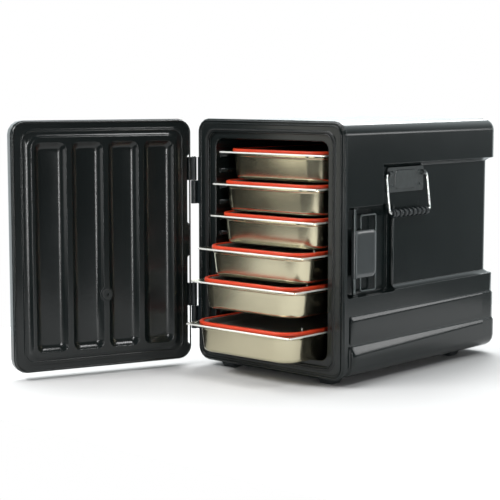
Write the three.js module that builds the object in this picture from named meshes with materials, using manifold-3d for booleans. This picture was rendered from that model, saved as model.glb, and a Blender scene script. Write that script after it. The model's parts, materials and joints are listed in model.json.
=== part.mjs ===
// Insulated food carrier: a double-walled box with a side-hinged door, a lever latch with a wire loop,
// two lifting handles and six covered gastronorm pans that slide on moulded ledges.
// Millimetres, +Z up, X to the right, Y to the back. The origin is the centre of the flat underside.
// It is shown with its door open and its pans drawn forward by different amounts.

import * as THREE from 'three';
import { mergeVertices } from 'three/addons/utils/BufferGeometryUtils.js';
import Module from 'manifold-3d';

const wasm = await Module();
wasm.setup();

// Fits and facets
const seatGap = 0.3; // between pieces that touch
const overrun = 5; // how far a cutter passes the face it cuts
const cornerSteps = 4; // of the body's and door's corners
const smallCornerSteps = 3;
const edgeSteps = 3;
const panEdgeSteps = 2;
const roundSides = 16;
const gripSides = 10;
const ventSides = 8;
const wireSides = 8;
const bendSteps = 3;

// Food pans, gastronorm 1/1
const panLength = 530;
const panWidth = 325;
const panDepth = 65;
const panSheet = 1;
const panFlange = 11;
const panFlangeLip = 3.5;
const panFlangeRadius = 9;
const panBasinRadius = 54;
const panShoulderDrop = 9;
const panShoulderStep = 2.5;
const panWallTaper = 6;
const panBottomRadius = 12;
const panCount = 6;
const pullShown = [12, 35, 43, 85, 110, 127]; // how far each pan is drawn out, top pan first

// Pan lids: a dished steel plate in a rounded silicone rim
const sealWidth = 10.2;
const sealHeight = 9;
const sealOverlap = 2.4; // on the flange, outside the basin
const sealSkirtDepth = 6;
const sealSkirtWidth = 3;
const lidSheet = 1.2;
const lidRimHeight = 3.2; // of the plate's underside above the flange
const lidRimWidth = 11;
const lidDish = 10.4;
const lidSlope = 10;
const ventRadius = 6;
const ventHeight = 9;
const ventFlange = 1.6;
const ventWaist = 3.6;
const ventFromRight = 62; // on the lid, from the pan's right side
const ventFromFront = 118;

// Cavity
const panSideClearance = 9.5;
const panFrontClearance = 11; // behind the closed door's plug
const panRearClearance = 7;
const cavityRadius = 20;
const ledgeLevels = 12;
const ledgePitch = 37.5;
const firstLedgeHeight = 48.5; // top of the lowest ledge above the cavity floor
const ledgeToBasin = 3;
const ledgeHeight = 15;
const ledgeNose = 5;
const ledgeChamfer = 2;
const ledgeSetback = 22; // of the ledges' front ends behind the front face
const ledgeLead = 9;
const topClearance = 30; // above the top pan's flange

// Walls
const shellWall = 4;
const linerWall = 3;
const sideWall = 50; // from the cavity to the shell's outer face
const floorWall = 38;
const topWall = 43;
const rearWall = 67;
const shellCornerRadius = 29;
const shellRearRadius = 24;

// Front frame: the liner's flange inside the shell's rim bead
const rimProud = 4; // of the bead outside the shell
const rimFront = 1.5;
const rimBack = 10;
const rimRound = 3;
const flangeInset = 10.3; // of the liner's flange inside the bead
const flangeThickness = 8;
const flangeEdgeRound = 1;
const grooveDepth = 5;
const rebateDepth = 7;
const mouthRound = 2;
const grooveOuterShare = 0.472; // from the bead's edge to the cavity's edge
const grooveInnerShare = 0.62;
const rebateShare = 0.66;
const mouthShare = 0.965;
const gasketOuterShare = 0.49;
const gasketInnerShare = 0.602;
const gasketProud = 0.6;
const gasketRound = 1.6;

// Side recess for the handles, and the stepped skirt below it
const recessDepth = 14;
const recessFront = 150;
const recessBottom = 190;
const topBand = 98.8; // above the recess, up to the shell's top
const recessBlend = 6;
const upperStep = 143; // height of the upper step of the skirt
const lowerStep = 75;
const stepOut = 2.5;
const stepFront = 25;
const stepRound = 5;

// Latch pocket in the right side
const pocketDepth = 28;
const pocketFront = 17;
const pocketRear = 200;
const pocketBelowLoop = 9;
const pocketAboveLoop = 21;
const pocketRadius = 9;
const pocketDraft = 3;

// Latch
const axleRadius = 4;
const axleX = 10; // inside the shell's outer face
const axleY = 53;
const axleSeat = 2.5; // of each end in its boss
const axleRunning = 0.4;
const bossRadius = 8;
const bossHeight = 9;
const latchMiddle = 279; // height of the lever's and the loop's middle
const leverHeight = 108;
const leverReach = 79; // from the axle to the finger end
const leverThickness = 4;
const leverCrown = 2.6;
const leverCornerRadius = 14;
const leverBarrelRadius = 6.5;
const leverRidge = 1.2;
const leverRidgeWidth = 7;
const loopPivotReach = 32; // from the axle
const loopPivotInset = 7; // inside the axle's centre
const loopLength = 56;
const loopHeight = 174;
const loopWire = 2.4; // radius
const loopBend = 5;
const loopLugWidth = 10;
const loopLugWall = 2.6;

// Hinges on the left side
const hingeAxisOut = 11; // outside the shell's side face
const hingeAxisForward = 6; // in front of the front face
const hingeBarrelRadius = 7;
const hingePinRadius = 3;
const hingePinRunning = 0.3;
const hingePinHead = 4.6;
const hingePinHeadHeight = 3;
const hingeHeight = 112;
const hingeKnuckleGap = 1;
const hingeLeafThickness = 3;
const hingeLeafDepth = 42;
const hingeLeafRadius = 6;
const hingeBottoms = [70, 375];
const hingeRecessDepth = 9.5; // of the body's recess, inside the bead
const hingeRecessBack = 60;
const hingeRecessMargins = [[40, 69], [51, 8]]; // below and above each hinge
const doorHingeRecess = 7.5;
const recessEndSlope = 6;

// Door, given as it is when closed
const doorGap = 1; // between the closed door's lip and the front frame
const doorThickness = 42;
const doorInset = 1; // of the door's edge inside the bead
const doorEdgeRadius = 14;
const doorWall = 3.5;
const doorSkin = 3;
const lipStep = 1.5;
const lipStepShare = 0.43;
const lipEdgeShare = 0.03;
const plugBaseShare = 0.67;
const plugTopShare = 0.8;
const plugHeight = 6;
const plugCornerRadius = 26;
const channelCount = 4;
const channelPitch = 90;
const channelWidth = 76;
const channelDepth = 11;
const channelSlope = 17;
const channelEnd = 14; // from the plug's top and bottom edges to the channels
const channelRadius = 16;
const panelInset = 34; // of the shallow panel on the door's outer face
const panelDepth = 2.5;
const panelRadius = 26;
const doorOpenAngle = 110; // degrees, as shown
const keeperFromEdge = 15; // the groove in the door's outer face that the latch's loop drops into
const keeperWidth = 11;
const keeperDepth = 7;
const keeperMargin = 8; // beyond each end of the loop
const keeperRadius = 5;

// Door vent
const doorVentHeight = 170;
const doorVentRadius = 13;
const doorVentBoss = 17;
const doorVentStem = 8;
const doorVentFlange = 2.5;
const doorVentCap = 16;
const doorVentCapHeight = 5;
const doorVentHole = 4;
const doorVentHoleDepth = 4;

// Lifting handles
const handleCentre = 247; // behind the front face
const bracketLength = 142;
const bracketHeight = 58;
const bracketClearance = 1; // below the recess's upper blend
const bracketThickness = 3;
const bracketRadius = 6;
const bracketRaise = 2.4;
const bracketRaiseLength = 88;
const lugRadius = 6.5;
const lugLength = 9.5;
const bailPivotDrop = 15; // below the bracket's top edge
const bailPivotOut = 5.5; // from the recess's floor
const bailSpan = 159;
const bailDrop = 91;
const bailWire = 3; // radius
const bailBend = 9;
const bailRunning = 0.4;
const bailLean = 7; // degrees from hanging straight down
const gripRadius = 8.3;
const gripRibRadius = 10.5;
const gripLength = 140;
const gripRibs = 9;
const gripEndWidth = 4;

// Feet
const footTop = 46;
const footBottom = 36;
const footHeight = 20;
const footRadius = 6;
const footSide = 128; // from the centre plane to the foot's inner side
const footFront = 22;
const footRear = 78; // from the shell's back

// Stiffening groove round the middle of the underside
const baseGrooveFromFeet = 12;
const baseGrooveWidth = 8;
const baseGrooveDepth = 1.5;
const baseGrooveRadius = 20;

// Sizes that follow
const degree = Math.PI / 180;
const quarterTurn = Math.PI / 2;
const panHalf = panWidth / 2;
const cavityHalf = panHalf + panSideClearance;
const plugReach = plugHeight - doorGap;
const panHome = plugReach + panFrontClearance;
const cavityRear = panHome + panLength + panRearClearance;
const cavityFloor = floorWall;
const ledgeTop = (level) => cavityFloor + firstLedgeHeight + level * ledgePitch;
const flangeOnLedge = (level) => ledgeTop(level) + seatGap + panFlangeLip;
const levelsPerPan = Math.floor((ledgeLevels - 1) / (panCount - 1));
const panLevel = (index) => ledgeLevels - 1 - index * levelsPerPan;
const bottomPan = cavityFloor + seatGap + panDepth;
const panFlangeHeight = (index) => (index === panCount - 1 ? bottomPan : flangeOnLedge(panLevel(index)));
const cavityCeiling = flangeOnLedge(ledgeLevels - 1) + topClearance;
const shellHalf = cavityHalf + sideWall;
const shellHeight = cavityCeiling + topWall;
const shellRear = cavityRear + rearWall;
const ledgeReach = cavityHalf - (panHalf - panFlange + ledgeToBasin);
const hingeX = -(shellHalf + hingeAxisOut);
const hingeY = -hingeAxisForward;
const recessHalf = shellHalf - recessDepth;
const recessTop = shellHeight - topBand;
const bracketTop = recessTop - recessBlend - bracketClearance;
const bracketBottom = bracketTop - bracketHeight;
const bailPivotHeight = bracketTop - bailPivotDrop;
const pocketBottom = latchMiddle - loopHeight / 2 - pocketBelowLoop;
const pocketTop = latchMiddle + loopHeight / 2 + pocketAboveLoop;

// Materials
const blackPlastic = new THREE.MeshStandardMaterial({ color: 0x1c2322, roughness: 0.42, metalness: 0 });
const linerPlastic = new THREE.MeshStandardMaterial({ color: 0x171d1d, roughness: 0.5, metalness: 0 });
const foam = new THREE.MeshStandardMaterial({ color: 0xd9cf9f, roughness: 0.9, metalness: 0 });
const blackRubber = new THREE.MeshStandardMaterial({ color: 0x121414, roughness: 0.8, metalness: 0 });
const greyPlastic = new THREE.MeshStandardMaterial({ color: 0x555d5f, roughness: 0.3, metalness: 0 });
const brightSteel = new THREE.MeshStandardMaterial({ color: 0xc9cbc8, roughness: 0.22, metalness: 1 });
const panSteel = new THREE.MeshStandardMaterial({ color: 0xb9b4a2, roughness: 0.3, metalness: 1 });
const lidSteel = new THREE.MeshStandardMaterial({ color: 0x8d8f8f, roughness: 0.15, metalness: 1 });
const redSilicone = new THREE.MeshStandardMaterial({ color: 0xd8431f, roughness: 0.45, metalness: 0 });

// Outlines and solids

// A rounded rectangle, one arc at each corner, counter-clockwise
function roundedRectangle({ left, right, bottom, top, radius }, steps = cornerSteps) {
  const corners = [
    [right - radius, top - radius],
    [left + radius, top - radius],
    [left + radius, bottom + radius],
    [right - radius, bottom + radius],
  ];
  return corners.flatMap(([u, v], quarter) =>
    Array.from({ length: steps + 1 }, (_, step) => {
      const angle = (quarter + step / steps) * quarterTurn;
      return new THREE.Vector2(u + radius * Math.cos(angle), v + radius * Math.sin(angle));
    }));
}

const inFrontPlane = (outline, y) => outline.map((p) => new THREE.Vector3(p.x, y, p.y));
const inFloorPlane = (outline, z) => outline.map((p) => new THREE.Vector3(p.x, p.y, z));
const inSidePlane = (outline, x) => outline.map((p) => new THREE.Vector3(x, p.x, p.y));

function signedVolume(points, faces) {
  let sum = 0;
  for (let i = 0; i < faces.length; i += 3) {
    const [a, b, c] = faces.slice(i, i + 3).map((n) => points[n]);
    sum += a.dot(new THREE.Vector3().crossVectors(b, c));
  }
  return sum;
}

// A solid through rings of equally many points: capped at both ends, or closed on itself as a frame
function loft(rings, closed = false) {
  const count = rings[0].length;
  const points = rings.flat();
  const faces = [];
  const spans = closed ? rings.length : rings.length - 1;
  for (let i = 0; i < spans; i += 1) {
    const near = i * count;
    const far = ((i + 1) % rings.length) * count;
    for (let j = 0; j < count; j += 1) {
      const next = (j + 1) % count;
      faces.push(near + j, near + next, far + next, near + j, far + next, far + j);
    }
  }
  if (!closed) {
    const last = (rings.length - 1) * count;
    for (let j = 1; j < count - 1; j += 1) {
      faces.push(0, j + 1, j, last, last + j, last + j + 1);
    }
  }
  if (signedVolume(points, faces) < 0) faces.reverse();
  const vertProperties = Float32Array.from(points.flatMap((p) => p.toArray()));
  return new wasm.Manifold(new wasm.Mesh({ numProp: 3, vertProperties, triVerts: Uint32Array.from(faces) }));
}

// A closed geometry as a solid that can be joined and cut
function solidOf(geometry) {
  const bare = geometry.clone();
  bare.deleteAttribute('normal');
  bare.deleteAttribute('uv');
  const welded = mergeVertices(bare);
  const triVerts = Uint32Array.from(welded.index.array);
  const vertProperties = welded.attributes.position.array;
  return new wasm.Manifold(new wasm.Mesh({ numProp: 3, vertProperties, triVerts }));
}

// A flat shape raised from z = 0
function prism(shape, height) {
  return solidOf(new THREE.ExtrudeGeometry(shape, { depth: height, bevelEnabled: false }));
}

function geometryOf(solid) {
  const mesh = solid.getMesh();
  const geometry = new THREE.BufferGeometry();
  geometry.setAttribute('position', new THREE.BufferAttribute(new Float32Array(mesh.vertProperties), 3));
  geometry.setIndex(new THREE.BufferAttribute(new Uint32Array(mesh.triVerts), 1));
  return geometry;
}

const join = (...solids) => solids.reduce((whole, next) => whole.add(next));
const cut = (solid, ...tools) => tools.reduce((rest, tool) => rest.subtract(tool), solid);

function block(left, right, front, back, bottom, top) {
  const geometry = new THREE.BoxGeometry(right - left, back - front, top - bottom);
  geometry.translate((left + right) / 2, (front + back) / 2, (bottom + top) / 2);
  return solidOf(geometry);
}

// A turned solid from [radius, height] points, about the Z axis
function turned(profile, sides = roundSides) {
  const points = profile.map(([radius, height]) => new THREE.Vector2(radius, height));
  return new THREE.LatheGeometry(points, sides).rotateX(quarterTurn);
}

// A round bar between two heights, upright at x, y
function uprightBar(radius, x, y, bottom, top) {
  const geometry = turned([[0, bottom], [radius, bottom], [radius, top], [0, top]]);
  return solidOf(geometry.translate(x, y, 0));
}

// The same bar lying along Y or along X
function barAlongY(radius, x, z, front, back) {
  const geometry = turned([[0, front], [radius, front], [radius, back], [0, back]]);
  return solidOf(geometry.rotateX(-quarterTurn).translate(x, 0, z));
}

// The route of a bent wire: straight runs, and a curve at each corner
function wirePath(corners, bend) {
  const path = new THREE.CurvePath();
  let from = corners[0];
  corners.slice(1, -1).forEach((corner, index) => {
    const back = corners[index].clone().sub(corner).setLength(bend);
    const onwards = corners[index + 2].clone().sub(corner).setLength(bend);
    const start = corner.clone().add(back);
    const end = corner.clone().add(onwards);
    path.add(new THREE.LineCurve3(from, start));
    path.add(new THREE.QuadraticBezierCurve3(start, corner, end));
    from = end;
  });
  path.add(new THREE.LineCurve3(from, corners[corners.length - 1]));
  return path;
}

// Round wire bent in the side plane, closed on itself where it ends at its start
function wireSolid(radius, corners, bend) {
  const stations = [];
  wirePath(corners, bend).curves.forEach((curve, index) => {
    const steps = curve.isLineCurve3 ? 1 : bendSteps;
    for (let n = index === 0 ? 0 : 1; n <= steps; n += 1) {
      stations.push({ at: curve.getPoint(n / steps), along: curve.getTangent(n / steps) });
    }
  });
  const closed = corners[0].equals(corners[corners.length - 1]);
  if (closed) stations.pop();
  const flat = new THREE.Vector3(1, 0, 0);
  const rings = stations.map(({ at, along }) => {
    const across = new THREE.Vector3().crossVectors(flat, along).normalize();
    return Array.from({ length: wireSides }, (_, n) => {
      const angle = (n / wireSides) * 2 * Math.PI;
      return at.clone()
        .addScaledVector(flat, radius * Math.cos(angle))
        .addScaledVector(across, radius * Math.sin(angle));
    });
  });
  return loft(rings, closed);
}

function addPiece(parent, name, shape, material) {
  const geometry = shape.isBufferGeometry ? shape : geometryOf(shape);
  const mesh = new THREE.Mesh(geometry, material);
  mesh.name = name;
  parent.add(mesh);
  return mesh;
}

// Outlines of the body's front

function bodyOutline(inset) {
  return {
    left: -shellHalf + inset,
    right: shellHalf - inset,
    bottom: inset,
    top: shellHeight - inset,
    radius: shellCornerRadius - inset,
  };
}

const cavityOutline = {
  left: -cavityHalf,
  right: cavityHalf,
  bottom: cavityFloor,
  top: cavityCeiling,
  radius: cavityRadius,
};

// From the bead's outer edge, share 0, to the cavity's edge, share 1
function frameOutline(share, inset = 0) {
  const outer = bodyOutline(inset - rimProud);
  const mix = (key) => THREE.MathUtils.lerp(outer[key], cavityOutline[key], share);
  return roundedRectangle({
    left: mix('left'),
    right: mix('right'),
    bottom: mix('bottom'),
    top: mix('top'),
    radius: mix('radius'),
  });
}

const grow = (outline, by) => ({
  left: outline.left - by,
  right: outline.right + by,
  bottom: outline.bottom - by,
  top: outline.top + by,
  radius: outline.radius + by,
});

// A prism along Y whose back edges are rounded
function prismWithRoundBack(outline, front, back, radius) {
  const rings = [inFrontPlane(roundedRectangle(outline), front)];
  for (let step = 0; step <= edgeSteps; step += 1) {
    const angle = (step / edgeSteps) * quarterTurn;
    const inset = radius * (1 - Math.cos(angle));
    const y = back - radius + radius * Math.sin(angle);
    rings.push(inFrontPlane(roundedRectangle(grow(outline, -inset)), y));
  }
  return loft(rings);
}

// Outer shell

// The skirt's raised step up to a height, round at its top, front and back edges
function skirtStep(out, height) {
  const outline = {
    left: -shellHalf - out,
    right: shellHalf + out,
    bottom: 0,
    top: height,
    radius: shellCornerRadius,
  };
  const rings = [
    inFrontPlane(stepOutline(outline, stepRound), stepFront),
    inFrontPlane(stepOutline(outline, 0), stepFront + stepRound),
  ];
  const radius = shellRearRadius;
  for (let step = 0; step <= edgeSteps; step += 1) {
    const angle = (step / edgeSteps) * quarterTurn;
    const inset = radius * (1 - Math.cos(angle));
    const y = shellRear + out - radius + radius * Math.sin(angle);
    rings.push(inFrontPlane(stepOutline(outline, inset), y));
  }
  return loft(rings);
}

// A skirt step's outline: the body's round corners below, a small rounding above
function stepOutline(outline, inset) {
  const lower = roundedRectangle({ ...outline, left: outline.left + inset, right: outline.right - inset });
  const half = lower.length / 2;
  const upper = roundedRectangle({
    left: outline.left + inset,
    right: outline.right - inset,
    bottom: outline.bottom,
    top: outline.top - Math.min(inset, stepRound),
    radius: stepRound,
  });
  return [...upper.slice(0, half), ...lower.slice(half)];
}

// Everything outside the recessed middle of the sides and back, with blended ledges
function recessCutter(inset) {
  const plan = (out) => roundedRectangle({
    left: -recessHalf + inset - out,
    right: recessHalf - inset + out,
    bottom: -overrun,
    top: shellRear - recessDepth - inset + out,
    radius: shellRearRadius - inset,
  });
  const bottom = recessBottom - inset;
  const top = recessTop + inset;
  const past = recessDepth + stepOut * 2 + overrun;
  const core = loft([
    inFloorPlane(plan(past), bottom - recessBlend - overrun),
    inFloorPlane(plan(past), bottom - recessBlend),
    inFloorPlane(plan(recessDepth / 2), bottom),
    inFloorPlane(plan(0), bottom + recessBlend),
    inFloorPlane(plan(0), top - recessBlend),
    inFloorPlane(plan(recessDepth / 2), top),
    inFloorPlane(plan(past), top + recessBlend),
    inFloorPlane(plan(past), top + recessBlend + overrun),
  ]);
  const reach = recessHalf + past + overrun;
  const inner = recessFront - inset + recessBlend / 2;
  const outer = inner - recessBlend * ((past + overrun) / recessDepth);
  const around = new THREE.Shape([
    new THREE.Vector2(-reach, outer),
    new THREE.Vector2(-recessHalf, inner),
    new THREE.Vector2(recessHalf, inner),
    new THREE.Vector2(reach, outer),
    new THREE.Vector2(reach, shellRear + reach),
    new THREE.Vector2(-reach, shellRear + reach),
  ]);
  return cut(prism(around, top - bottom + recessBlend * 2).translate([0, 0, bottom - recessBlend]), core);
}

// The latch pocket, drafted and with round corners
function pocketCutter(inset) {
  const outline = (draft) => roundedRectangle({
    left: pocketFront - inset + draft,
    right: pocketRear + inset - draft,
    bottom: pocketBottom - inset + draft,
    top: pocketTop + inset - draft,
    radius: pocketRadius + inset,
  }, smallCornerSteps);
  return loft([
    inSidePlane(outline(pocketDraft), shellHalf - pocketDepth - inset),
    inSidePlane(outline(0), shellHalf - pocketDepth - inset + pocketDraft * 2),
    inSidePlane(outline(0), shellHalf + rimProud + overrun),
  ]);
}

// A notch with sloped ends in the left edge, from a depth inside the bead outwards
function hingeNotch(index, depth, front, back, inset) {
  const [below, above] = hingeRecessMargins[index];
  const bottom = hingeBottoms[index] - below - inset;
  const top = hingeBottoms[index] + hingeHeight + above + inset;
  const floorX = -(shellHalf + rimProud) + depth + inset;
  const outX = -(shellHalf + rimProud) - overrun;
  const slope = recessEndSlope;
  const shape = new THREE.Shape([
    new THREE.Vector2(floorX, bottom + slope),
    new THREE.Vector2(floorX, top - slope),
    new THREE.Vector2(outX, top + slope),
    new THREE.Vector2(outX, bottom - slope),
  ]);
  const geometry = new THREE.ExtrudeGeometry(shape, { depth: back - front, bevelEnabled: false });
  geometry.rotateX(quarterTurn).translate(0, back, 0);
  return solidOf(geometry);
}

const bodyHingeNotches = (inset) => hingeBottoms.map((_, index) =>
  hingeNotch(index, hingeRecessDepth, -overrun, hingeRecessBack + inset, inset));

// The body's form at a depth inside its outer face
function shellForm(inset, front) {
  const radius = shellRearRadius - inset;
  const prism = prismWithRoundBack(bodyOutline(inset), front, shellRear - inset, radius);
  return cut(prism, recessCutter(inset), pocketCutter(inset), ...bodyHingeNotches(inset));
}

function rimBead() {
  const bead = (inset, y) => inFrontPlane(roundedRectangle(grow(bodyOutline(0), rimProud - inset)), y);
  const steps = [
    [rimRound, rimFront],
    [rimRound / 4, rimFront + rimRound / 2],
    [0, rimFront + rimRound],
    [0, rimBack - rimRound],
    [rimRound / 4, rimBack - rimRound / 2],
    [rimRound, rimBack],
  ];
  return loft(steps.map(([inset, y]) => bead(inset, y)));
}

function axleBoss(bottom, top) {
  const x = shellHalf - axleX;
  const back = shellHalf - pocketDepth - shellWall / 2;
  const web = block(back, x, axleY - bossRadius, axleY + bossRadius, bottom, top);
  return join(uprightBar(bossRadius, x, axleY, bottom, top), web);
}

function baseGroove() {
  const side = footSide - baseGrooveFromFeet;
  const ring = (out, z) => inFloorPlane(roundedRectangle({
    left: -side - out,
    right: side + out,
    bottom: footFront + footTop + baseGrooveFromFeet - out,
    top: shellRear - footRear - footTop - baseGrooveFromFeet + out,
    radius: baseGrooveRadius + out,
  }, smallCornerSteps), z);
  return loft([
    ring(0, -overrun),
    ring(baseGrooveWidth, -overrun),
    ring(baseGrooveWidth, baseGrooveDepth),
    ring(0, baseGrooveDepth),
  ], true);
}

function outerShell() {
  const skirt = join(skirtStep(stepOut, upperStep), skirtStep(stepOut * 2, lowerStep));
  const prism = prismWithRoundBack(bodyOutline(0), rimBack - rimRound, shellRear, shellRearRadius);
  const whole = join(prism, skirt, rimBead());
  const outside = cut(whole, recessCutter(0), pocketCutter(0), ...bodyHingeNotches(0));
  const mouth = grow(bodyOutline(0), rimProud - flangeInset + seatGap);
  const opening = loft([
    inFrontPlane(roundedRectangle(mouth), -overrun),
    inFrontPlane(roundedRectangle(mouth), rimBack),
  ]);
  const openingInWall = cut(opening, ...bodyHingeNotches(shellWall), pocketCutter(shellWall));
  const hollow = cut(outside, openingInWall, shellForm(shellWall, flangeThickness));
  const lower = axleBoss(pocketBottom - shellWall / 2, pocketBottom + bossHeight - pocketDraft);
  const upper = axleBoss(pocketTop - bossHeight + pocketDraft, pocketTop + shellWall / 2);
  return cut(join(hollow, lower, upper), axleHole(), baseGroove());
}

// The hole that takes the latch axle's two ends
function axleHole() {
  const radius = axleRadius + axleRunning / 2;
  return uprightBar(radius, shellHalf - axleX, axleY, axleBottom - seatGap, axleTop + seatGap);
}

const axleBottom = pocketBottom + bossHeight - pocketDraft - axleSeat;
const axleTop = pocketTop - bossHeight + pocketDraft + axleSeat;

// Inner liner with its flange, gasket groove and ledges

function linerSolid() {
  const face = (share, y) => inFrontPlane(frameOutline(share), y);
  const edge = (inset, y) => inFrontPlane(roundedRectangle(grow(bodyOutline(0), rimProud - inset)), y);
  const mouth = (round, y) => inFrontPlane(roundedRectangle(grow(cavityOutline, round)), y);
  const inside = (inset, y) => inFrontPlane(roundedRectangle(grow(cavityOutline, -inset)), y);
  const rings = [
    inFrontPlane(roundedRectangle(grow(cavityOutline, linerWall)), cavityRear + linerWall),
    inFrontPlane(roundedRectangle(grow(cavityOutline, linerWall)), flangeThickness + linerWall),
    edge(flangeInset, flangeThickness),
    edge(flangeInset, flangeEdgeRound),
    edge(flangeInset + flangeEdgeRound, 0),
    face(grooveOuterShare, 0),
    face(grooveOuterShare, grooveDepth),
    face(grooveInnerShare, grooveDepth),
    face(grooveInnerShare, 0),
    face(rebateShare - grooveEaseShare, 0),
    face(rebateShare, flangeEdgeRound),
    face(rebateShare, rebateDepth),
    face(mouthShare, rebateDepth),
    mouth(0, rebateDepth + mouthRound),
    inside(0, cavityRear - cavityRadius),
    inside(cavityRadius / 3, cavityRear - cavityRadius / 4),
    inside(cavityRadius - linerWall, cavityRear),
  ];
  return loft(rings);
}

const grooveEaseShare = 0.015;

function ledge(level, side) {
  const wall = side * (cavityHalf + linerWall / 2);
  const nose = side * (cavityHalf - ledgeReach);
  const top = ledgeTop(level);
  const profile = (reachShare) => {
    const tip = THREE.MathUtils.lerp(side * cavityHalf, nose, reachShare);
    return [
      [wall, top],
      [tip + side * ledgeChamfer * reachShare, top],
      [tip, top - ledgeChamfer],
      [tip, top - ledgeNose],
      [tip + side * ledgeNose * reachShare, top - ledgeNose * 2],
      [wall, top - ledgeHeight],
    ].map(([x, z]) => new THREE.Vector2(x, z));
  };
  return loft([
    inFrontPlane(profile(ledgeStartShare), ledgeSetback),
    inFrontPlane(profile(1), ledgeSetback + ledgeLead),
    inFrontPlane(profile(1), cavityRear + linerWall / 2),
  ]);
}

const ledgeStartShare = 0.25;

function innerLiner() {
  const ledges = [];
  for (let level = 0; level < ledgeLevels; level += 1) {
    ledges.push(ledge(level, -1), ledge(level, 1));
  }
  const whole = join(linerSolid(), ...ledges);
  const notches = bodyHingeNotches(shellWall + seatGap);
  return cut(whole, ...notches, pocketCutter(shellWall + seatGap));
}

function insulationCore() {
  const gap = shellWall + seatGap;
  const front = Math.max(flangeThickness, rimBack) + linerWall + seatGap;
  const outside = shellForm(gap, front);
  const inside = roundedRectangle(grow(cavityOutline, linerWall + seatGap));
  const rear = cavityRear + linerWall + seatGap;
  const hole = loft([inFrontPlane(inside, front - overrun), inFrontPlane(inside, rear)]);
  return cut(outside, hole);
}

function frontGasket() {
  const at = (share, y) => inFrontPlane(frameOutline(share), y);
  const back = grooveDepth - seatGap;
  const easeShare = (gasketInnerShare - gasketOuterShare) / 4;
  return loft([
    at(gasketOuterShare, back),
    at(gasketOuterShare, gasketRound - gasketProud),
    at(gasketOuterShare + easeShare, -gasketProud),
    at(gasketInnerShare - easeShare, -gasketProud),
    at(gasketInnerShare, gasketRound - gasketProud),
    at(gasketInnerShare, back),
  ], true);
}

// Feet

function foot() {
  const square = (size) => roundedRectangle({
    left: -size / 2,
    right: size / 2,
    bottom: -size / 2,
    top: size / 2,
    radius: footRadius,
  }, smallCornerSteps);
  return loft([
    inFloorPlane(square(footTop), -seatGap),
    inFloorPlane(square(footTop), -footHeight / 4),
    inFloorPlane(square(footBottom), -footHeight),
  ]);
}

// Hinges: a lower knuckle on the body, an upper knuckle on the door, and a pin

const knuckleHeight = (hingeHeight - hingeKnuckleGap) / 2;

function knuckle(bottom, top) {
  const bore = uprightBar(hingePinRadius + hingePinRunning, 0, 0, bottom - overrun, top + overrun);
  return { barrel: uprightBar(hingeBarrelRadius, 0, 0, bottom, top), bore };
}

// A leaf in the side plane with round corners on the edge away from the barrel
function hingeLeaf(inner, outer, front, back, bottom, top) {
  const sizes = { left: front, right: back, bottom, top, radius: hingeLeafRadius };
  const outline = roundedRectangle(sizes, smallCornerSteps);
  return loft([inSidePlane(outline, inner), inSidePlane(outline, outer)]);
}

// Both are drawn with the pin's axis as the origin and the door closed
function bodyHingeHalf() {
  const { barrel, bore } = knuckle(0, knuckleHeight);
  const seat = -(shellHalf + rimProud) + hingeRecessDepth - hingeX;
  const outer = seat - seatGap;
  const inner = outer - hingeLeafThickness;
  const front = -hingeY - doorGap + seatGap;
  const leaf = hingeLeaf(inner, outer, front, hingeLeafDepth, 0, hingeHeight);
  const back = hingeBarrelRadius + hingeLeafThickness;
  const web = block(hingePinRadius, outer, front, back, 0, knuckleHeight);
  const rib = block(hingeBarrelRadius + hingeKnuckleGap, outer, front, back, 0, hingeHeight);
  return cut(join(barrel, leaf, web, rib), bore);
}

function doorHingeHalf() {
  const bottom = knuckleHeight + hingeKnuckleGap;
  const { barrel, bore } = knuckle(bottom, hingeHeight);
  const seat = -(shellHalf + rimProud) + doorInset + doorHingeRecess - hingeX;
  const outer = seat - seatGap;
  const inner = outer - hingeLeafThickness;
  const back = -hingeY - doorGap - doorSkin;
  const front = back - doorThickness + doorEdgeRadius;
  const leaf = hingeLeaf(inner, outer, front, back, bottom, hingeHeight);
  const web = block(hingePinRadius, outer, -hingeBarrelRadius, back, bottom, hingeHeight);
  return cut(join(barrel, leaf, web), bore);
}

function hingePin() {
  const bottom = hingePinHeadHeight;
  return turned([
    [0, bottom],
    [hingePinRadius, bottom],
    [hingePinRadius, hingeHeight + seatGap],
    [hingePinHead, hingeHeight + seatGap],
    [hingePinHead, hingeHeight + hingePinHeadHeight],
    [0, hingeHeight + hingePinHeadHeight],
  ]);
}

// Latch: an upright axle, a crowned lever and a wire loop that straddles it

// Drawn with the axle's centre as the origin
function latchLever() {
  const half = leverHeight / 2;
  const plate = (x, inset) => inSidePlane(roundedRectangle({
    left: inset,
    right: leverReach - inset,
    bottom: -half + inset,
    top: half - inset,
    radius: leverCornerRadius - inset,
  }, smallCornerSteps), x);
  const blade = loft([
    plate(leverInside, leverThickness / 4),
    plate(leverInside + leverThickness / 4, 0),
    plate(leverInside + leverThickness, 0),
    plate(leverInside + leverThickness + leverCrown / 2, leverCrown),
    plate(leverInside + leverThickness + leverCrown, leverCrown * 4),
  ]);
  const front = block(leverInside, leverInside + leverThickness, 0, leverCornerRadius * 2, -half, half);
  const ridge = block(
    leverInside,
    leverInside + leverThickness + leverCrown / 2 + leverRidge,
    0,
    leverRidgeWidth,
    -half,
    half,
  );
  const barrel = uprightBar(leverBarrelRadius, 0, 0, -half, half);
  const bore = uprightBar(axleRadius + axleRunning, 0, 0, -half - overrun, half + overrun);
  return cut(join(blade, front, ridge, barrel, ...loopLugs()), bore, loopBore());
}

const leverInside = -leverThickness / 2;

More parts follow.
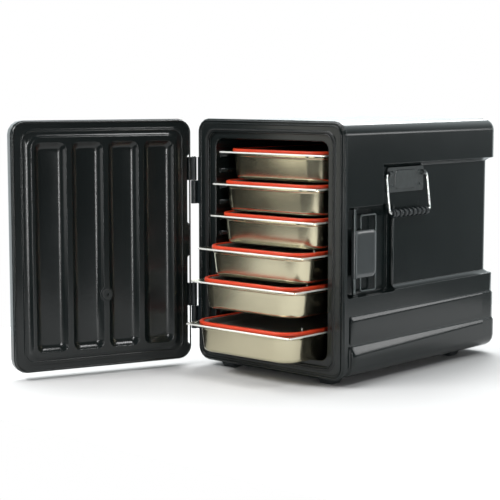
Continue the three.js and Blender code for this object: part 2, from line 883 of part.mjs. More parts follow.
// Two lugs under the blade that carry the loop
function loopLugs() {
  const radius = loopWire + loopLugWall;
  const ends = [-1, 1].map((end) => end * (leverHeight / 2 - loopLugWidth * 2));
  return ends.map((middle) => {
    const bottom = middle - loopLugWidth / 2;
    const top = middle + loopLugWidth / 2;
    const barrel = uprightBar(radius, -loopPivotInset, loopPivotReach, bottom, top);
    const [front, back] = [loopPivotReach - radius, loopPivotReach + radius];
    const web = block(-loopPivotInset, leverInside, front, back, bottom, top);
    return join(barrel, web);
  });
}

function loopBore() {
  const reach = leverHeight;
  return uprightBar(loopWire + axleRunning, -loopPivotInset, loopPivotReach, -reach, reach);
}

// A closed rectangle of wire in the side plane, drawn about its pivot leg
function latchLoop() {
  const half = loopHeight / 2;
  const corner = (y, z) => new THREE.Vector3(0, y, z);
  const corners = [
    corner(0, 0),
    corner(0, half),
    corner(loopLength, half),
    corner(loopLength, -half),
    corner(0, -half),
    corner(0, 0),
  ];
  return wireSolid(loopWire, corners, loopBend);
}

// Lifting handles, drawn for the right side with the recess's floor as x = 0 and the middle as y = 0

function handleBracket() {
  const half = bracketLength / 2;
  const outline = roundedRectangle({
    left: -half,
    right: half,
    bottom: bracketBottom,
    top: bracketTop,
    radius: bracketRadius,
  }, smallCornerSteps);
  const raise = (inset) => roundedRectangle({
    left: -bracketRaiseLength / 2 + inset,
    right: bracketRaiseLength / 2 - inset,
    bottom: bracketBottom + bracketRadius + inset,
    top: bracketTop - bracketRadius - inset,
    radius: bracketRadius * 2 - inset,
  }, smallCornerSteps);
  const plate = loft([inSidePlane(outline, seatGap), inSidePlane(outline, seatGap + bracketThickness)]);
  const panel = loft([
    inSidePlane(raise(0), seatGap + bracketThickness / 2),
    inSidePlane(raise(0), seatGap + bracketThickness),
    inSidePlane(raise(bracketRaise), seatGap + bracketThickness + bracketRaise),
  ]);
  const lugs = [-1, 1].map((end) => {
    const outer = end * (half + seatGap);
    const inner = end * (half - lugLength);
    const [front, back] = [Math.min(outer, inner), Math.max(outer, inner)];
    const barrel = barAlongY(lugRadius, bailPivotOut, bailPivotHeight, front, back);
    const [low, high] = [bailPivotHeight - lugRadius, bailPivotHeight + lugRadius];
    const web = block(seatGap, bailPivotOut, front, back, low, high);
    const boreRadius = bailWire + bailRunning;
    const bore = barAlongY(boreRadius, bailPivotOut, bailPivotHeight, front - overrun, back + overrun);
    return { solid: join(barrel, web), bore };
  });
  const clear = block(-overrun, seatGap, -half - overrun, half + overrun, bracketBottom, bracketTop);
  return cut(join(plate, panel, ...lugs.map((lug) => lug.solid)), clear, ...lugs.map((lug) => lug.bore));
}

// The bail hangs below its pivot, which is the origin
function handleBail() {
  const arm = bailSpan / 2;
  const end = bracketLength / 2 - lugLength + seatGap;
  const corner = (y, z) => new THREE.Vector3(0, y, z);
  return wireSolid(bailWire, [
    corner(-end, 0),
    corner(-arm, 0),
    corner(-arm, -bailDrop),
    corner(arm, -bailDrop),
    corner(arm, 0),
    corner(end, 0),
  ], bailBend);
}

// The grip is ribbed across the fingers and has a bore for the wire
function handleGrip() {
  const half = gripLength / 2;
  const bore = bailWire + bailRunning;
  const pitch = (gripLength - gripEndWidth * 2) / gripRibs;
  const profile = [[bore, -half], [gripRadius, -half], [gripRibRadius, -half + gripEndWidth]];
  for (let rib = 0; rib < gripRibs; rib += 1) {
    const start = -half + gripEndWidth + rib * pitch;
    profile.push([gripRadius, start + pitch * grooveShare], [gripRibRadius, start + pitch * ribShare]);
  }
  profile.push([gripRibRadius, half - gripEndWidth], [gripRadius, half], [bore, half], [bore, -half]);
  return turned(profile, gripSides).rotateX(-quarterTurn).translate(0, 0, -bailDrop);
}

const grooveShare = 0.3; // of a rib's pitch, to the bottom of its groove
const ribShare = 0.6;

// Door, drawn closed in the body's own frame

const doorFace = -doorGap;
const plugFace = doorFace + plugHeight;
const linerBack = plugFace - channelDepth - doorSkin;
const doorOuter = doorFace - doorThickness;
const doorOutline = (share) => frameOutline(share, doorInset);
const doorHingeNotches = (inset) => hingeBottoms.map((_, index) =>
  hingeNotch(index, doorInset + doorHingeRecess, doorOuter - overrun, -doorFace + overrun, inset));

// The plug's channels, drawn from its face into the door
function channels() {
  const bottom = plugOutline.bottom + channelEnd;
  const top = plugOutline.top - channelEnd;
  return Array.from({ length: channelCount }, (_, index) => {
    const middle = (index - (channelCount - 1) / 2) * channelPitch;
    const at = (narrow, y) => inFrontPlane(roundedRectangle({
      left: middle - channelWidth / 2 + narrow,
      right: middle + channelWidth / 2 - narrow,
      bottom: bottom + narrow,
      top: top - narrow,
      radius: channelRadius - narrow / 2,
    }, smallCornerSteps), y);
    return loft([
      at(channelSlope, plugFace - channelDepth),
      at(channelSlope / 3, plugFace - channelDepth / 2),
      at(0, plugFace),
      at(0, plugFace + overrun),
    ]);
  });
}

// The plug's face outline, with rounder corners than the frame
const plugOutline = {
  left: -THREE.MathUtils.lerp(shellHalf + rimProud - doorInset, cavityHalf, plugTopShare),
  right: THREE.MathUtils.lerp(shellHalf + rimProud - doorInset, cavityHalf, plugTopShare),
  bottom: THREE.MathUtils.lerp(doorInset - rimProud, cavityFloor, plugTopShare),
  top: THREE.MathUtils.lerp(shellHeight + rimProud - doorInset, cavityCeiling, plugTopShare),
  radius: plugCornerRadius,
};

// The hole for the vent's stem, right through the door
function ventBore() {
  const radius = doorVentStem + seatGap;
  return barAlongY(radius, 0, doorVentHeight, doorOuter - overrun, plugFace + overrun);
}

function doorLiner() {
  const at = (share, y) => inFrontPlane(doorOutline(share), y);
  const plug = (inset, y) => inFrontPlane(roundedRectangle(grow(plugOutline, -inset)), y);
  const round = plugHeight / 4;
  const form = loft([
    at(lipEdgeShare, linerBack),
    at(lipEdgeShare, doorFace - lipStep - round),
    at(lipEdgeShare * 2, doorFace - lipStep),
    at(lipStepShare, doorFace - lipStep),
    at(lipStepShare + grooveEaseShare, doorFace),
    at(plugBaseShare, doorFace),
    plug(0, plugFace - round),
    plug(round * 2, plugFace),
  ]);
  const ventSeat = barAlongY(doorVentBoss, 0, doorVentHeight, linerBack, plugFace);
  return cut(join(cut(form, ...channels()), ventSeat), ventBore(), ...doorHingeNotches(doorWall + seatGap));
}

// The latch's keeper: an upright groove in the outer face, close to the free edge
function keeperGroove(inset) {
  const right = shellHalf + rimProud - doorInset - keeperFromEdge;
  const reach = loopHeight / 2 + keeperMargin + inset;
  const outline = roundedRectangle({
    left: right - keeperWidth - inset,
    right: right + inset,
    bottom: latchMiddle - reach,
    top: latchMiddle + reach,
    radius: keeperRadius + inset,
  }, smallCornerSteps);
  const floor = doorOuter + keeperDepth + inset;
  return loft([inFrontPlane(outline, doorOuter - overrun), inFrontPlane(outline, floor)]);
}

function doorOuterShell() {
  const sideOutline = grow(bodyOutline(0), rimProud - doorInset);
  const back = linerBack - seatGap;
  const form = (inset, near, far) => {
    const radius = doorEdgeRadius - inset;
    const rings = [inFrontPlane(roundedRectangle(grow(sideOutline, -inset)), near)];
    for (let step = 0; step <= edgeSteps; step += 1) {
      const angle = (step / edgeSteps) * quarterTurn;
      const round = radius * (1 - Math.cos(angle));
      const outline = roundedRectangle(grow(sideOutline, -inset - round));
      rings.push(inFrontPlane(outline, far + radius - radius * Math.sin(angle)));
    }
    return loft(rings);
  };
  const panel = (inset, y) => inFrontPlane(roundedRectangle({
    ...grow(sideOutline, -panelInset - inset),
    radius: panelRadius - inset,
  }, smallCornerSteps), y);
  const sunk = loft([
    panel(0, doorOuter - overrun),
    panel(0, doorOuter),
    panel(panelDepth, doorOuter + panelDepth),
  ]);
  const outside = cut(form(0, back, doorOuter), sunk, keeperGroove(0), ...doorHingeNotches(0));
  const innerForm = form(doorWall, back + overrun, doorOuter + doorWall + panelDepth);
  const inside = cut(innerForm, keeperGroove(doorWall), ...doorHingeNotches(doorWall));
  return cut(outside, inside, ventBore());
}

function doorInsulation() {
  const gap = doorWall + seatGap;
  const outline = grow(bodyOutline(0), rimProud - doorInset - gap);
  const front = doorOuter + gap + panelDepth;
  const radius = doorEdgeRadius - gap;
  const slab = loft([
    inFrontPlane(roundedRectangle(outline), linerBack - seatGap),
    inFrontPlane(roundedRectangle(outline), front + radius),
    inFrontPlane(roundedRectangle(grow(outline, -radius / 3)), front + radius / 3),
    inFrontPlane(roundedRectangle(grow(outline, -radius)), front),
  ]);
  return cut(slab, ventBore(), keeperGroove(gap), ...doorHingeNotches(gap));
}

// The vent passes right through the door: a flange inside, a stem and a cap outside
function doorVent() {
  const inner = plugFace + seatGap;
  const outer = doorOuter + panelDepth - seatGap;
  const profile = [
    [0, inner + doorVentFlange - doorVentHoleDepth],
    [doorVentHole, inner + doorVentFlange - doorVentHoleDepth],
    [doorVentHole, inner + doorVentFlange],
    [doorVentRadius - doorVentFlange / 2, inner + doorVentFlange],
    [doorVentRadius, inner + doorVentFlange / 2],
    [doorVentRadius, inner],
    [doorVentStem, inner],
    [doorVentStem, outer],
    [doorVentCap, outer],
    [doorVentCap - doorVentFlange / 2, outer - doorVentCapHeight],
    [0, outer - doorVentCapHeight],
  ];
  const drawn = turned(profile.map(([radius, y]) => [radius, -y]));
  return drawn.rotateX(quarterTurn).translate(0, 0, doorVentHeight);
}

// Pans and lids, drawn from the middle of the flange's front edge, with the flange's top as z = 0

const panOutline = (inset, radius) => roundedRectangle({
  left: -panHalf + inset,
  right: panHalf - inset,
  bottom: inset,
  top: panLength - inset,
  radius,
}, smallCornerSteps);

// The flange has small corners, and the basin and the lid share the basin's large ones
const flangeRing = ([inset, z]) => inFloorPlane(panOutline(inset, panFlangeRadius - inset), z);
const basinRing = ([inset, z]) => inFloorPlane(panOutline(inset, panBasinRadius + panFlange - inset), z);

// One skin of the basin from its bottom edge up to the flange
function basinSkin(thickness) {
  const wallTop = panFlange + panShoulderStep + thickness;
  const wallFoot = wallTop + panWallTaper;
  const floor = -panDepth + thickness;
  const radius = panBottomRadius;
  const edge = Array.from({ length: panEdgeSteps + 1 }, (_, step) => {
    const angle = (step / panEdgeSteps) * quarterTurn;
    return [wallFoot + radius * (1 - Math.sin(angle)), floor + radius * (1 - Math.cos(angle))];
  });
  return [
    ...edge,
    [wallTop, -panShoulderDrop - panShoulderStep],
    [panFlange + thickness, -panShoulderDrop],
  ];
}

function pan() {
  const flange = [[panSheet, -panSheet], [panSheet, -panFlangeLip], [0, -panFlangeLip], [0, 0]];
  const outside = [...basinSkin(0), [panFlange, -panSheet]];
  const inside = [...basinSkin(panSheet), [panFlange + panSheet, 0]].reverse();
  return loft([...outside.map(basinRing), ...flange.map(flangeRing), ...inside.map(basinRing)]);
}

function lidSeal() {
  const outer = panFlange - sealOverlap;
  const inner = outer + sealWidth;
  const round = sealHeight / 4;
  const skirt = panFlange + panSheet + seatGap;
  const section = [
    [outer, seatGap],
    [outer, sealHeight - round],
    [outer + round, sealHeight],
    [inner - round, sealHeight],
    [inner, sealHeight - round],
    [inner, lidRimHeight - seatGap],
    [skirt + sealSkirtWidth / 2, -sealSkirtDepth],
    [skirt, seatGap],
  ];
  return loft(section.map(basinRing), true);
}

function lidPlate() {
  const edge = panFlange - sealOverlap + sealWidth + seatGap;
  const bend = edge + lidRimWidth;
  const low = lidRimHeight - lidDish;
  const section = [
    [bend + lidSlope, low],
    [bend, lidRimHeight],
    [edge, lidRimHeight],
    [edge, lidRimHeight + lidSheet],
    [bend, lidRimHeight + lidSheet],
    [bend + lidSlope, low + lidSheet],
  ];
  return loft(section.map(basinRing));
}

function lidVent() {
  const bottom = lidRimHeight - lidDish + lidSheet + seatGap;
  const top = bottom + ventHeight;
  return turned([
    [0, bottom],
    [ventRadius, bottom],
    [ventRadius, bottom + ventFlange],
    [ventWaist, bottom + ventFlange],
    [ventWaist, top - ventFlange],
    [ventRadius - ventFlange, top],
    [0, top],
  ], ventSides).translate(panHalf - ventFromRight, ventFromFront, 0);
}

// Assembly: the body's parts are drawn from the front face, so the group moves back by half its depth

const carrier = new THREE.Group();
carrier.position.set(0, -shellRear / 2, 0);

addPiece(carrier, 'outer_shell', outerShell(), blackPlastic);
addPiece(carrier, 'insulation_core', insulationCore(), foam);
addPiece(carrier, 'inner_liner', innerLiner(), linerPlastic);
addPiece(carrier, 'front_gasket', frontGasket(), blackRubber);

const footPlaces = [
  ['foot_front_left', -1, footFront + footTop / 2],
  ['foot_front_right', 1, footFront + footTop / 2],
  ['foot_rear_left', -1, shellRear - footRear - footTop / 2],
  ['foot_rear_right', 1, shellRear - footRear - footTop / 2],
];
footPlaces.forEach(([name, side, y]) => {
  addPiece(carrier, name, foot(), blackRubber).position.set(side * (footSide + footTop / 2), y, 0);
});

const door = new THREE.Group();
door.position.set(hingeX, hingeY, 0);
door.rotation.z = -doorOpenAngle * degree;
carrier.add(door);
const doorParts = new THREE.Group();
doorParts.position.set(-hingeX, -hingeY, 0);
door.add(doorParts);
addPiece(doorParts, 'door_outer_shell', doorOuterShell(), blackPlastic);
addPiece(doorParts, 'door_insulation', doorInsulation(), foam);
addPiece(doorParts, 'door_liner', doorLiner(), linerPlastic);
addPiece(doorParts, 'door_vent', doorVent(), blackPlastic);

['lower', 'upper'].forEach((place, index) => {
  const z = hingeBottoms[index];
  const fixedHalf = addPiece(carrier, `hinge_${place}_body_leaf`, bodyHingeHalf(), blackPlastic);
  fixedHalf.position.set(hingeX, hingeY, z);
  const doorHalf = addPiece(door, `hinge_${place}_door_leaf`, doorHingeHalf(), blackPlastic);
  doorHalf.position.set(0, 0, z);
  const pin = addPiece(carrier, `hinge_${place}_pin`, hingePin(), brightSteel);
  pin.position.set(hingeX, hingeY, z);
});

const axle = uprightBar(axleRadius, 0, 0, axleBottom, axleTop);
addPiece(carrier, 'latch_axle', axle, brightSteel).position.set(shellHalf - axleX, axleY, 0);
const latch = new THREE.Group();
latch.position.set(shellHalf - axleX, axleY, latchMiddle);
carrier.add(latch);
addPiece(latch, 'latch_lever', latchLever(), greyPlastic);
addPiece(latch, 'latch_loop', latchLoop(), brightSteel).position.set(-loopPivotInset, loopPivotReach, 0);

[['right', 1], ['left', -1]].forEach(([place, side]) => {
  const handle = new THREE.Group();
  handle.position.set(side * recessHalf, handleCentre, 0);
  handle.rotation.z = side > 0 ? 0 : Math.PI;
  carrier.add(handle);
  addPiece(handle, `handle_${place}_bracket`, handleBracket(), blackPlastic);
  const bail = new THREE.Group();
  bail.position.set(bailPivotOut, 0, bailPivotHeight);
  bail.rotation.y = -bailLean * degree;
  handle.add(bail);
  addPiece(bail, `handle_${place}_bail`, handleBail(), brightSteel);
  addPiece(bail, `handle_${place}_grip`, handleGrip(), blackRubber);
});

for (let index = 0; index < panCount; index += 1) {
  const set = new THREE.Group();
  set.position.set(0, panHome - pullShown[index], panFlangeHeight(index));
  carrier.add(set);
  const number = index + 1;
  addPiece(set, `pan_${number}`, pan(), panSteel);
  addPiece(set, `pan_${number}_lid`, lidPlate(), lidSteel);
  addPiece(set, `pan_${number}_lid_seal`, lidSeal(), redSilicone);
  addPiece(set, `pan_${number}_lid_vent`, lidVent(), brightSteel);
}

export default carrier;
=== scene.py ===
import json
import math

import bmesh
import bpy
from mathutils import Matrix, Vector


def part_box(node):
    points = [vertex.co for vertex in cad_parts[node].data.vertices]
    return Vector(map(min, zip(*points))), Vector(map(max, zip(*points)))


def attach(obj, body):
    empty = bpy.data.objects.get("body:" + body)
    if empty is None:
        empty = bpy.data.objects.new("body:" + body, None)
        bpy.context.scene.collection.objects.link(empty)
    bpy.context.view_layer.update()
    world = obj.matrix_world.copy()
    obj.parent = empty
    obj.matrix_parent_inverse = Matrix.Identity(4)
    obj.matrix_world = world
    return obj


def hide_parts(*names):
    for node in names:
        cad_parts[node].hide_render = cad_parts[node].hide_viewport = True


bl_info = {
    "name": "Insulated Food Carrier",
    "version": (1, 0, 0),
    "blender": (4, 5, 0),
    "location": "View3D > Sidebar > Carrier",
    "description": "Finishes an insulated food carrier and its covered pans, and sets its studio",
    "category": "Add Mesh",
}

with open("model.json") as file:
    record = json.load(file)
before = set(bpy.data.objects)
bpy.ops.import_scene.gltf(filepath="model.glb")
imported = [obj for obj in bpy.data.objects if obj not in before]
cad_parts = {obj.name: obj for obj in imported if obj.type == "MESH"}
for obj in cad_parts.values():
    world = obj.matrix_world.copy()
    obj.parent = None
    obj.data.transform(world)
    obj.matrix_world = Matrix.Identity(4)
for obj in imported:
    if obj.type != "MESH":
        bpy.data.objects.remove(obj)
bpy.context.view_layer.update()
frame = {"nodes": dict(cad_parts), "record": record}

MM = 0.001
QUARTER = math.pi / 2
PAN_COUNT = 6
JOINTS = {joint["name"]: joint for joint in frame["record"]["behaviour"]["joints"]}
DOOR_SHOWN = -math.radians(abs(JOINTS["door_hinge"]["range_deg"][0]))  # from the closed door to the shown one
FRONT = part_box("inner_liner")[0].y  # the body's front face

# Outlines of the body's front, in mm: half width, bottom, top and corner radius
SHELL_EDGE = (222, 0, 575.8, 29)
RIM_EDGE = (226, -4, 579.8, 33)
MOUTH_EDGE = (172, 38, 532.8, 20)
BEAD_SIDES = 16

# The ridge behind the latch pocket, in mm: (radius, height) points, and its place across and behind the front
POCKET_RIDGE = ((0, 192), (3, 192), (4.5, 195), (4.5, 381), (3, 384), (0, 384))
RIDGE_PLACE = (205.5, 203)

# The soft rolls on the skirt's two steps, in mm
ROLL_FRONT = 27
ROLL_BACK = 560
ROLL_NOSE = 14
ROLL_SPACING = 50
ROLL_FADE = 0.65  # of their height and width, lost towards the back
LOWER_STEP = 5  # of the lower step outside the shell
SKIRT_ROLLS = (  # level, step outside the shell, bottom, top, crown and the crown's band
    ("upper", 2.5, 80, 140.5, 2.6, 11),
    ("lower", LOWER_STEP, 24, 72.5, 5.6, 24),
)

# The beads on the door's inside, in mm: inset from the door's edge, corner radius and depth
DOOR_HALF, DOOR_LOW, DOOR_HIGH = 225, -3, 578.8
DOOR_BEADS = (("door_lip_bead", 4.5, 29, -2.7), ("door_step_bead", 25, 24, -1.6))

# Latch and handles
LOOP_HALF = 87 * MM
LOOP_LENGTH = 56 * MM
LOOP_BEND = 7 * MM
BAIL_LEAN = math.radians(7)
BAIL_DROP = 91 * MM
BAIL_HALF = 79.5 * MM
BAIL_END = 61.8 * MM  # where the ends stop inside the bracket's ears
BAIL_BEND = 12 * MM
BRACKET_PLATE = 3 * MM
SCREW_PLACES = ((-53, 12), (-53, 43), (53, 12), (53, 43))  # along the bracket and below its top, in mm
GRIP_HALF = 70 * MM
COLLAR_RISE = 1.6 * MM

# Camera and floor, in metres but for the lens; the camera's place is taken from the front face
CAMERA_PLACE = (2.1979, -2.4888, 0.6558)
CAMERA_YAW = math.radians(42.16)
CAMERA_PITCH = math.radians(6.48)
CAMERA_SENSOR = 36  # mm
CAMERA_LENS = 103.74  # mm
FLOOR_REACH = 1.0
FLOOR_SHADE = 0.57  # just under white in the render
BEHIND = (-0.66, 0.73, 0.15)  # from the camera past the carrier

# Each softbox's name, place, target, size, power and colour
WHITE = (1, 1, 1)
SOFTBOXES = (
    ("low_front_softbox", (-1.25, -1.95, 0.3), (0.1, -0.35, 0.3), (0.45, 0.9), 2.4, (1, 0.97, 0.88)),
    ("right_overhead_softbox", (1.45, -0.13, 1.81), (-0.3, -0.5, 0.1), (0.45, 0.45), 14, WHITE),
    ("right_back_softbox", (6.5, 6.9, 1.6), (0.2, 0, 0.3), (3.6, 1.0), 70, WHITE),
    ("front_softbox", (0, -2.7, 0.45), (0, -0.35, 0.3), (1.2, 0.8), 6, WHITE),
    ("high_back_softbox", (-1.2, 2.1, 2.1), (0.1, 0, 0.3), (1.6, 1.0), 60, WHITE),
    ("high_front_softbox", (-0.9, -2.7, 2.3), (0, -0.3, 0.3), (2.0, 1.0), 110, WHITE),
    ("right_front_softbox", (3.0, -2.0, 0.35), (0.2, 0, 0.3), (0.25, 1.2), 30, WHITE),
)


def pivot(name):
    return Vector(JOINTS[name]["pos_m"])


def shown_door(point):
    """A point of the closed door, given from the front face's centre, where the open door is shown."""
    hinge = pivot("door_hinge")
    place = point + Vector((0, FRONT, 0)) - hinge
    return Matrix.Rotation(DOOR_SHOWN, 3, "Z") @ place + hinge


def linear(hex_colour):
    """An sRGB hex colour as linear red, green and blue."""
    parts = [int(hex_colour[i:i + 2], 16) / 255 for i in (1, 3, 5)]
    return tuple(c / 12.92 if c <= 0.04045 else ((c + 0.055) / 1.055) ** 2.4 for c in parts)


def colour_property(name, description, hex_colour):
    return bpy.props.FloatVectorProperty(
        name=name, description=description, subtype="COLOR", size=3, min=0, max=1, default=linear(hex_colour))


def length_property(name, description, millimetres):
    return bpy.props.FloatProperty(
        name=name, description=description, unit="LENGTH", min=0, default=millimetres * MM)


class CarrierColours(bpy.types.PropertyGroup):
    body: colour_property("Body", "Rotationally moulded polyethylene of the body and door", "#0F1515")
    liner: colour_property("Liner", "Formed polyethylene of the cavity and the door's inside", "#0D1212")
    gasket: colour_property("Gasket", "Rubber seal round the opening", "#0A0C0C")
    hinge: colour_property("Hinges", "Glass-filled nylon of the hinges", "#10171A")
    bracket: colour_property("Brackets", "Scuffed nylon of the handle brackets", "#1A1D1D")
    grip: colour_property("Grips", "Rubber of the ribbed grips and the feet", "#14191B")
    lever: colour_property("Lever", "Glossy moulded plastic of the latch lever", "#3D4142")
    wire: colour_property("Handle wire", "Polished stainless wire of the bails", "#E4E6E4")
    # Latch wire colour: steel darkened as painted shade for the latch pocket; the screw heads reuse it.
    shaded_latch_wire: colour_property("Latch wire", "Dull stainless wire of the latch's axle and loop", "#5E6363")
    pan: colour_property("Pans", "Deep-drawn stainless steel of the pans", "#C4BDA2")
    # Pan edge colour: a painted highlight, a paler steel that makes the pans' rolled edges show as bright
    # lines.
    pan_edge_highlight: colour_property("Pan edges", "Bead-blasted steel of the pans' rolled edges", "#E9E9E4")
    lid: colour_property("Lids", "Polished stainless steel of the lids", "#A9ABA6")
    silicone: colour_property("Lid rims", "Silicone rims of the lids", "#C03A1E")


class CarrierSizes(bpy.types.PropertyGroup):
    moulded_edge: length_property("Moulded edge", "Rounding of the moulded parts' sharp edges", 1.2)
    fine_edge: length_property("Fine edge", "Rounding of the small fittings' edges", 0.5)
    sheet: length_property("Pan sheet", "Thickness of the pans' steel", 1.0)
    flange: length_property("Pan flange", "Width of the pans' flange", 11)
    flange_radius: length_property("Flange corner", "Corner radius of the pans' flanges", 9)
    basin_radius: length_property("Pan corner", "Corner radius of the pans' basins", 54)
    rim_width: length_property("Lid rim width", "Width of the lids' silicone rims", 10.2)
    rim_height: length_property("Lid rim height", "Height of the silicone rims above the flange", 6.8)
    rib_count: bpy.props.IntProperty(name="Grip ribs", description="Ribs on each grip", min=2, default=8)
    rib_pitch: length_property("Grip rib pitch", "Distance between the ribs of a grip", 17)
    rib_radius: length_property("Grip rib radius", "Largest radius of a grip, at its ribs", 10.3)
    screw_radius: length_property("Screw head", "Radius of the fixing screws' heads", 4)
    bail_wire: length_property("Handle wire", "Radius of the handles' bails", 3)
    loop_wire: length_property("Latch wire", "Radius of the latch's loop", 2.4)
    bead_width: length_property("Door bead", "Width of the two beads round the door's inside", 4)


# Meshes

def new_object(name, data):
    piece = bpy.data.objects.new(name, data)
    bpy.context.scene.collection.objects.link(piece)
    return piece


def smooth(mesh, degrees=38):
    mesh.shade_smooth()
    mesh.set_sharp_from_angle(angle=math.radians(degrees))


def rounded_rectangle(left, right, bottom, top, radius, steps):
    """Points of a rounded rectangle, counter-clockwise, one arc at each corner."""
    centres = [
        (right - radius, top - radius),
        (left + radius, top - radius),
        (left + radius, bottom + radius),
        (right - radius, bottom + radius),
    ]
    points = []
    for quarter, (u, v) in enumerate(centres):
        for step in range(steps + 1):
            angle = (quarter + step / steps) * QUARTER
            points.append((u + radius * math.cos(angle), v + radius * math.sin(angle)))
    return points


def rounded_path(corners, steps=4, closed=False):
    """A polyline of (a, b, radius) corners with each corner rounded by its radius."""
    count = len(corners)
    path = []
    for i, (a, b, radius) in enumerate(corners):
        if radius <= 0 or (not closed and i in (0, count - 1)):
            path.append((a, b))
            continue
        here = Vector((a, b))
        back = Vector(corners[i - 1][:2]) - here
        onwards = Vector(corners[(i + 1) % count][:2]) - here
        reach = min(radius, back.length * 0.49, onwards.length * 0.49)
        start = here + back.normalized() * reach
        end = here + onwards.normalized() * reach
        for step in range(steps + 1):
            t = step / steps
            point = start * (1 - t) ** 2 + here * 2 * t * (1 - t) + end * t ** 2
            path.append((point.x, point.y))
    return path


def loft(name, rings, closed=False, degrees=38):
    """A skin through rings of equally many points: capped at both ends, or closed on itself."""
    bm = bmesh.new()
    loops = [[bm.verts.new(p) for p in ring] for ring in rings]
    spans = len(loops) if closed else len(loops) - 1
    count = len(rings[0])
    for i in range(spans):
        near, far = loops[i], loops[(i + 1) % len(loops)]
        for j in range(count):
            k = (j + 1) % count
            bm.faces.new((near[j], near[k], far[k], far[j]))
    if not closed:
        bm.faces.new(loops[0][::-1])
        bm.faces.new(loops[-1])
    bmesh.ops.remove_doubles(bm, verts=bm.verts, dist=1e-6)
    bmesh.ops.recalc_face_normals(bm, faces=bm.faces)
    mesh = bpy.data.meshes.new(name)
    bm.to_mesh(mesh)
    bm.free()
    smooth(mesh, degrees)
    return new_object(name, mesh)


def turned(name, profile, centre, axis="Z", sides=32):
    """A turned piece from (radius, height) points about an upright or a Y axis through centre."""
    closed = profile[0] == profile[-1]
    profile = profile[:-1] if closed else profile
    rings = []
    for radius, height in profile:
        ring = []
        for i in range(sides):
            angle = 2 * math.pi * i / sides
            across, round_it = radius * math.cos(angle), radius * math.sin(angle)
            point = (across, round_it, height) if axis == "Z" else (across, height, round_it)
            ring.append(centre + Vector(point))
        rings.append(ring)
    return loft(name, rings, closed=closed)


def wire(name, corners, bend, radius, closed=False, sides=16, steps=8):
    """Round wire along straight runs with bent corners."""
    path = []
    count = len(corners)
    for i, corner in enumerate(corners):
        if not closed and i in (0, count - 1):
            path.append(corner.copy())
            continue
        back = (corners[i - 1] - corner).normalized() * bend
        onwards = (corners[(i + 1) % count] - corner).normalized() * bend
        for step in range(steps + 1):
            t = step / steps
            start, end = corner + back, corner + onwards
            path.append(start * (1 - t) ** 2 + corner * 2 * t * (1 - t) + end * t ** 2)
    flat = (corners[1] - corners[0]).cross(corners[2] - corners[1]).normalized()
    rings = []
    for i, at in enumerate(path):
        before = path[i - 1] if i or closed else path[0]
        after = path[(i + 1) % len(path)] if i + 1 < len(path) or closed else path[-1]
        along = (after - before).normalized()
        across = flat.cross(along).normalized()
        turn = [2 * math.pi * n / sides for n in range(sides)]
        rings.append([at + flat * radius * math.cos(a) + across * radius * math.sin(a) for a in turn])
    return loft(name, rings, closed=closed, degrees=60)


def plain_mesh(piece):
    """Turns a piece with modifiers into a plain mesh."""
    graph = bpy.context.evaluated_depsgraph_get()
    graph.update()
    mesh = bpy.data.meshes.new_from_object(piece.evaluated_get(graph))
    piece.modifiers.clear()
    piece.data = mesh
    return piece


def bevelled(piece, width):
    bevel = piece.modifiers.new("Bevel", "BEVEL")
    bevel.width = width
    bevel.segments = 3
    bevel.limit_method = "ANGLE"
    bevel.angle_limit = math.radians(38)
    bevel.use_clamp_overlap = False
    bevel.miter_outer = "MITER_ARC"
    plain_mesh(piece)
    smooth(piece.data, 50)
    normals = piece.modifiers.new("Normals", "WEIGHTED_NORMAL")
    normals.keep_sharp = True
    return plain_mesh(piece)


def moulded(name, node, width):
    """A piece with the form of a node, its faces merged and its sharp edges rounded."""
    bm = bmesh.new()
    bm.from_mesh(frame["nodes"][node].data)
    bmesh.ops.remove_doubles(bm, verts=bm.verts, dist=2e-6)
    bmesh.ops.dissolve_limit(bm, angle_limit=math.radians(0.6), verts=bm.verts, edges=bm.edges)
    mesh = bpy.data.meshes.new(name)
    bm.to_mesh(mesh)
    bm.free()
    mesh.materials.clear()
    piece = new_object(name, mesh)
    return bevelled(piece, width)


def repeat_tree(name, inputs):
    """An empty geometry tree with its named inputs, and the nodes where it starts and ends."""
    tree = bpy.data.node_groups.new(name, "GeometryNodeTree")
    tree.interface.new_socket("Geometry", in_out="INPUT", socket_type="NodeSocketGeometry")
    for label, kind in inputs:
        tree.interface.new_socket(label, in_out="INPUT", socket_type=f"NodeSocket{kind}")
    tree.interface.new_socket("Geometry", in_out="OUTPUT", socket_type="NodeSocketGeometry")
    return tree, add(tree, "NodeGroupInput").outputs, add(tree, "NodeGroupOutput")


def times(tree, value, factor):
    return add(tree, "ShaderNodeMath", {0: value, 1: factor}, operation="MULTIPLY").outputs["Value"]


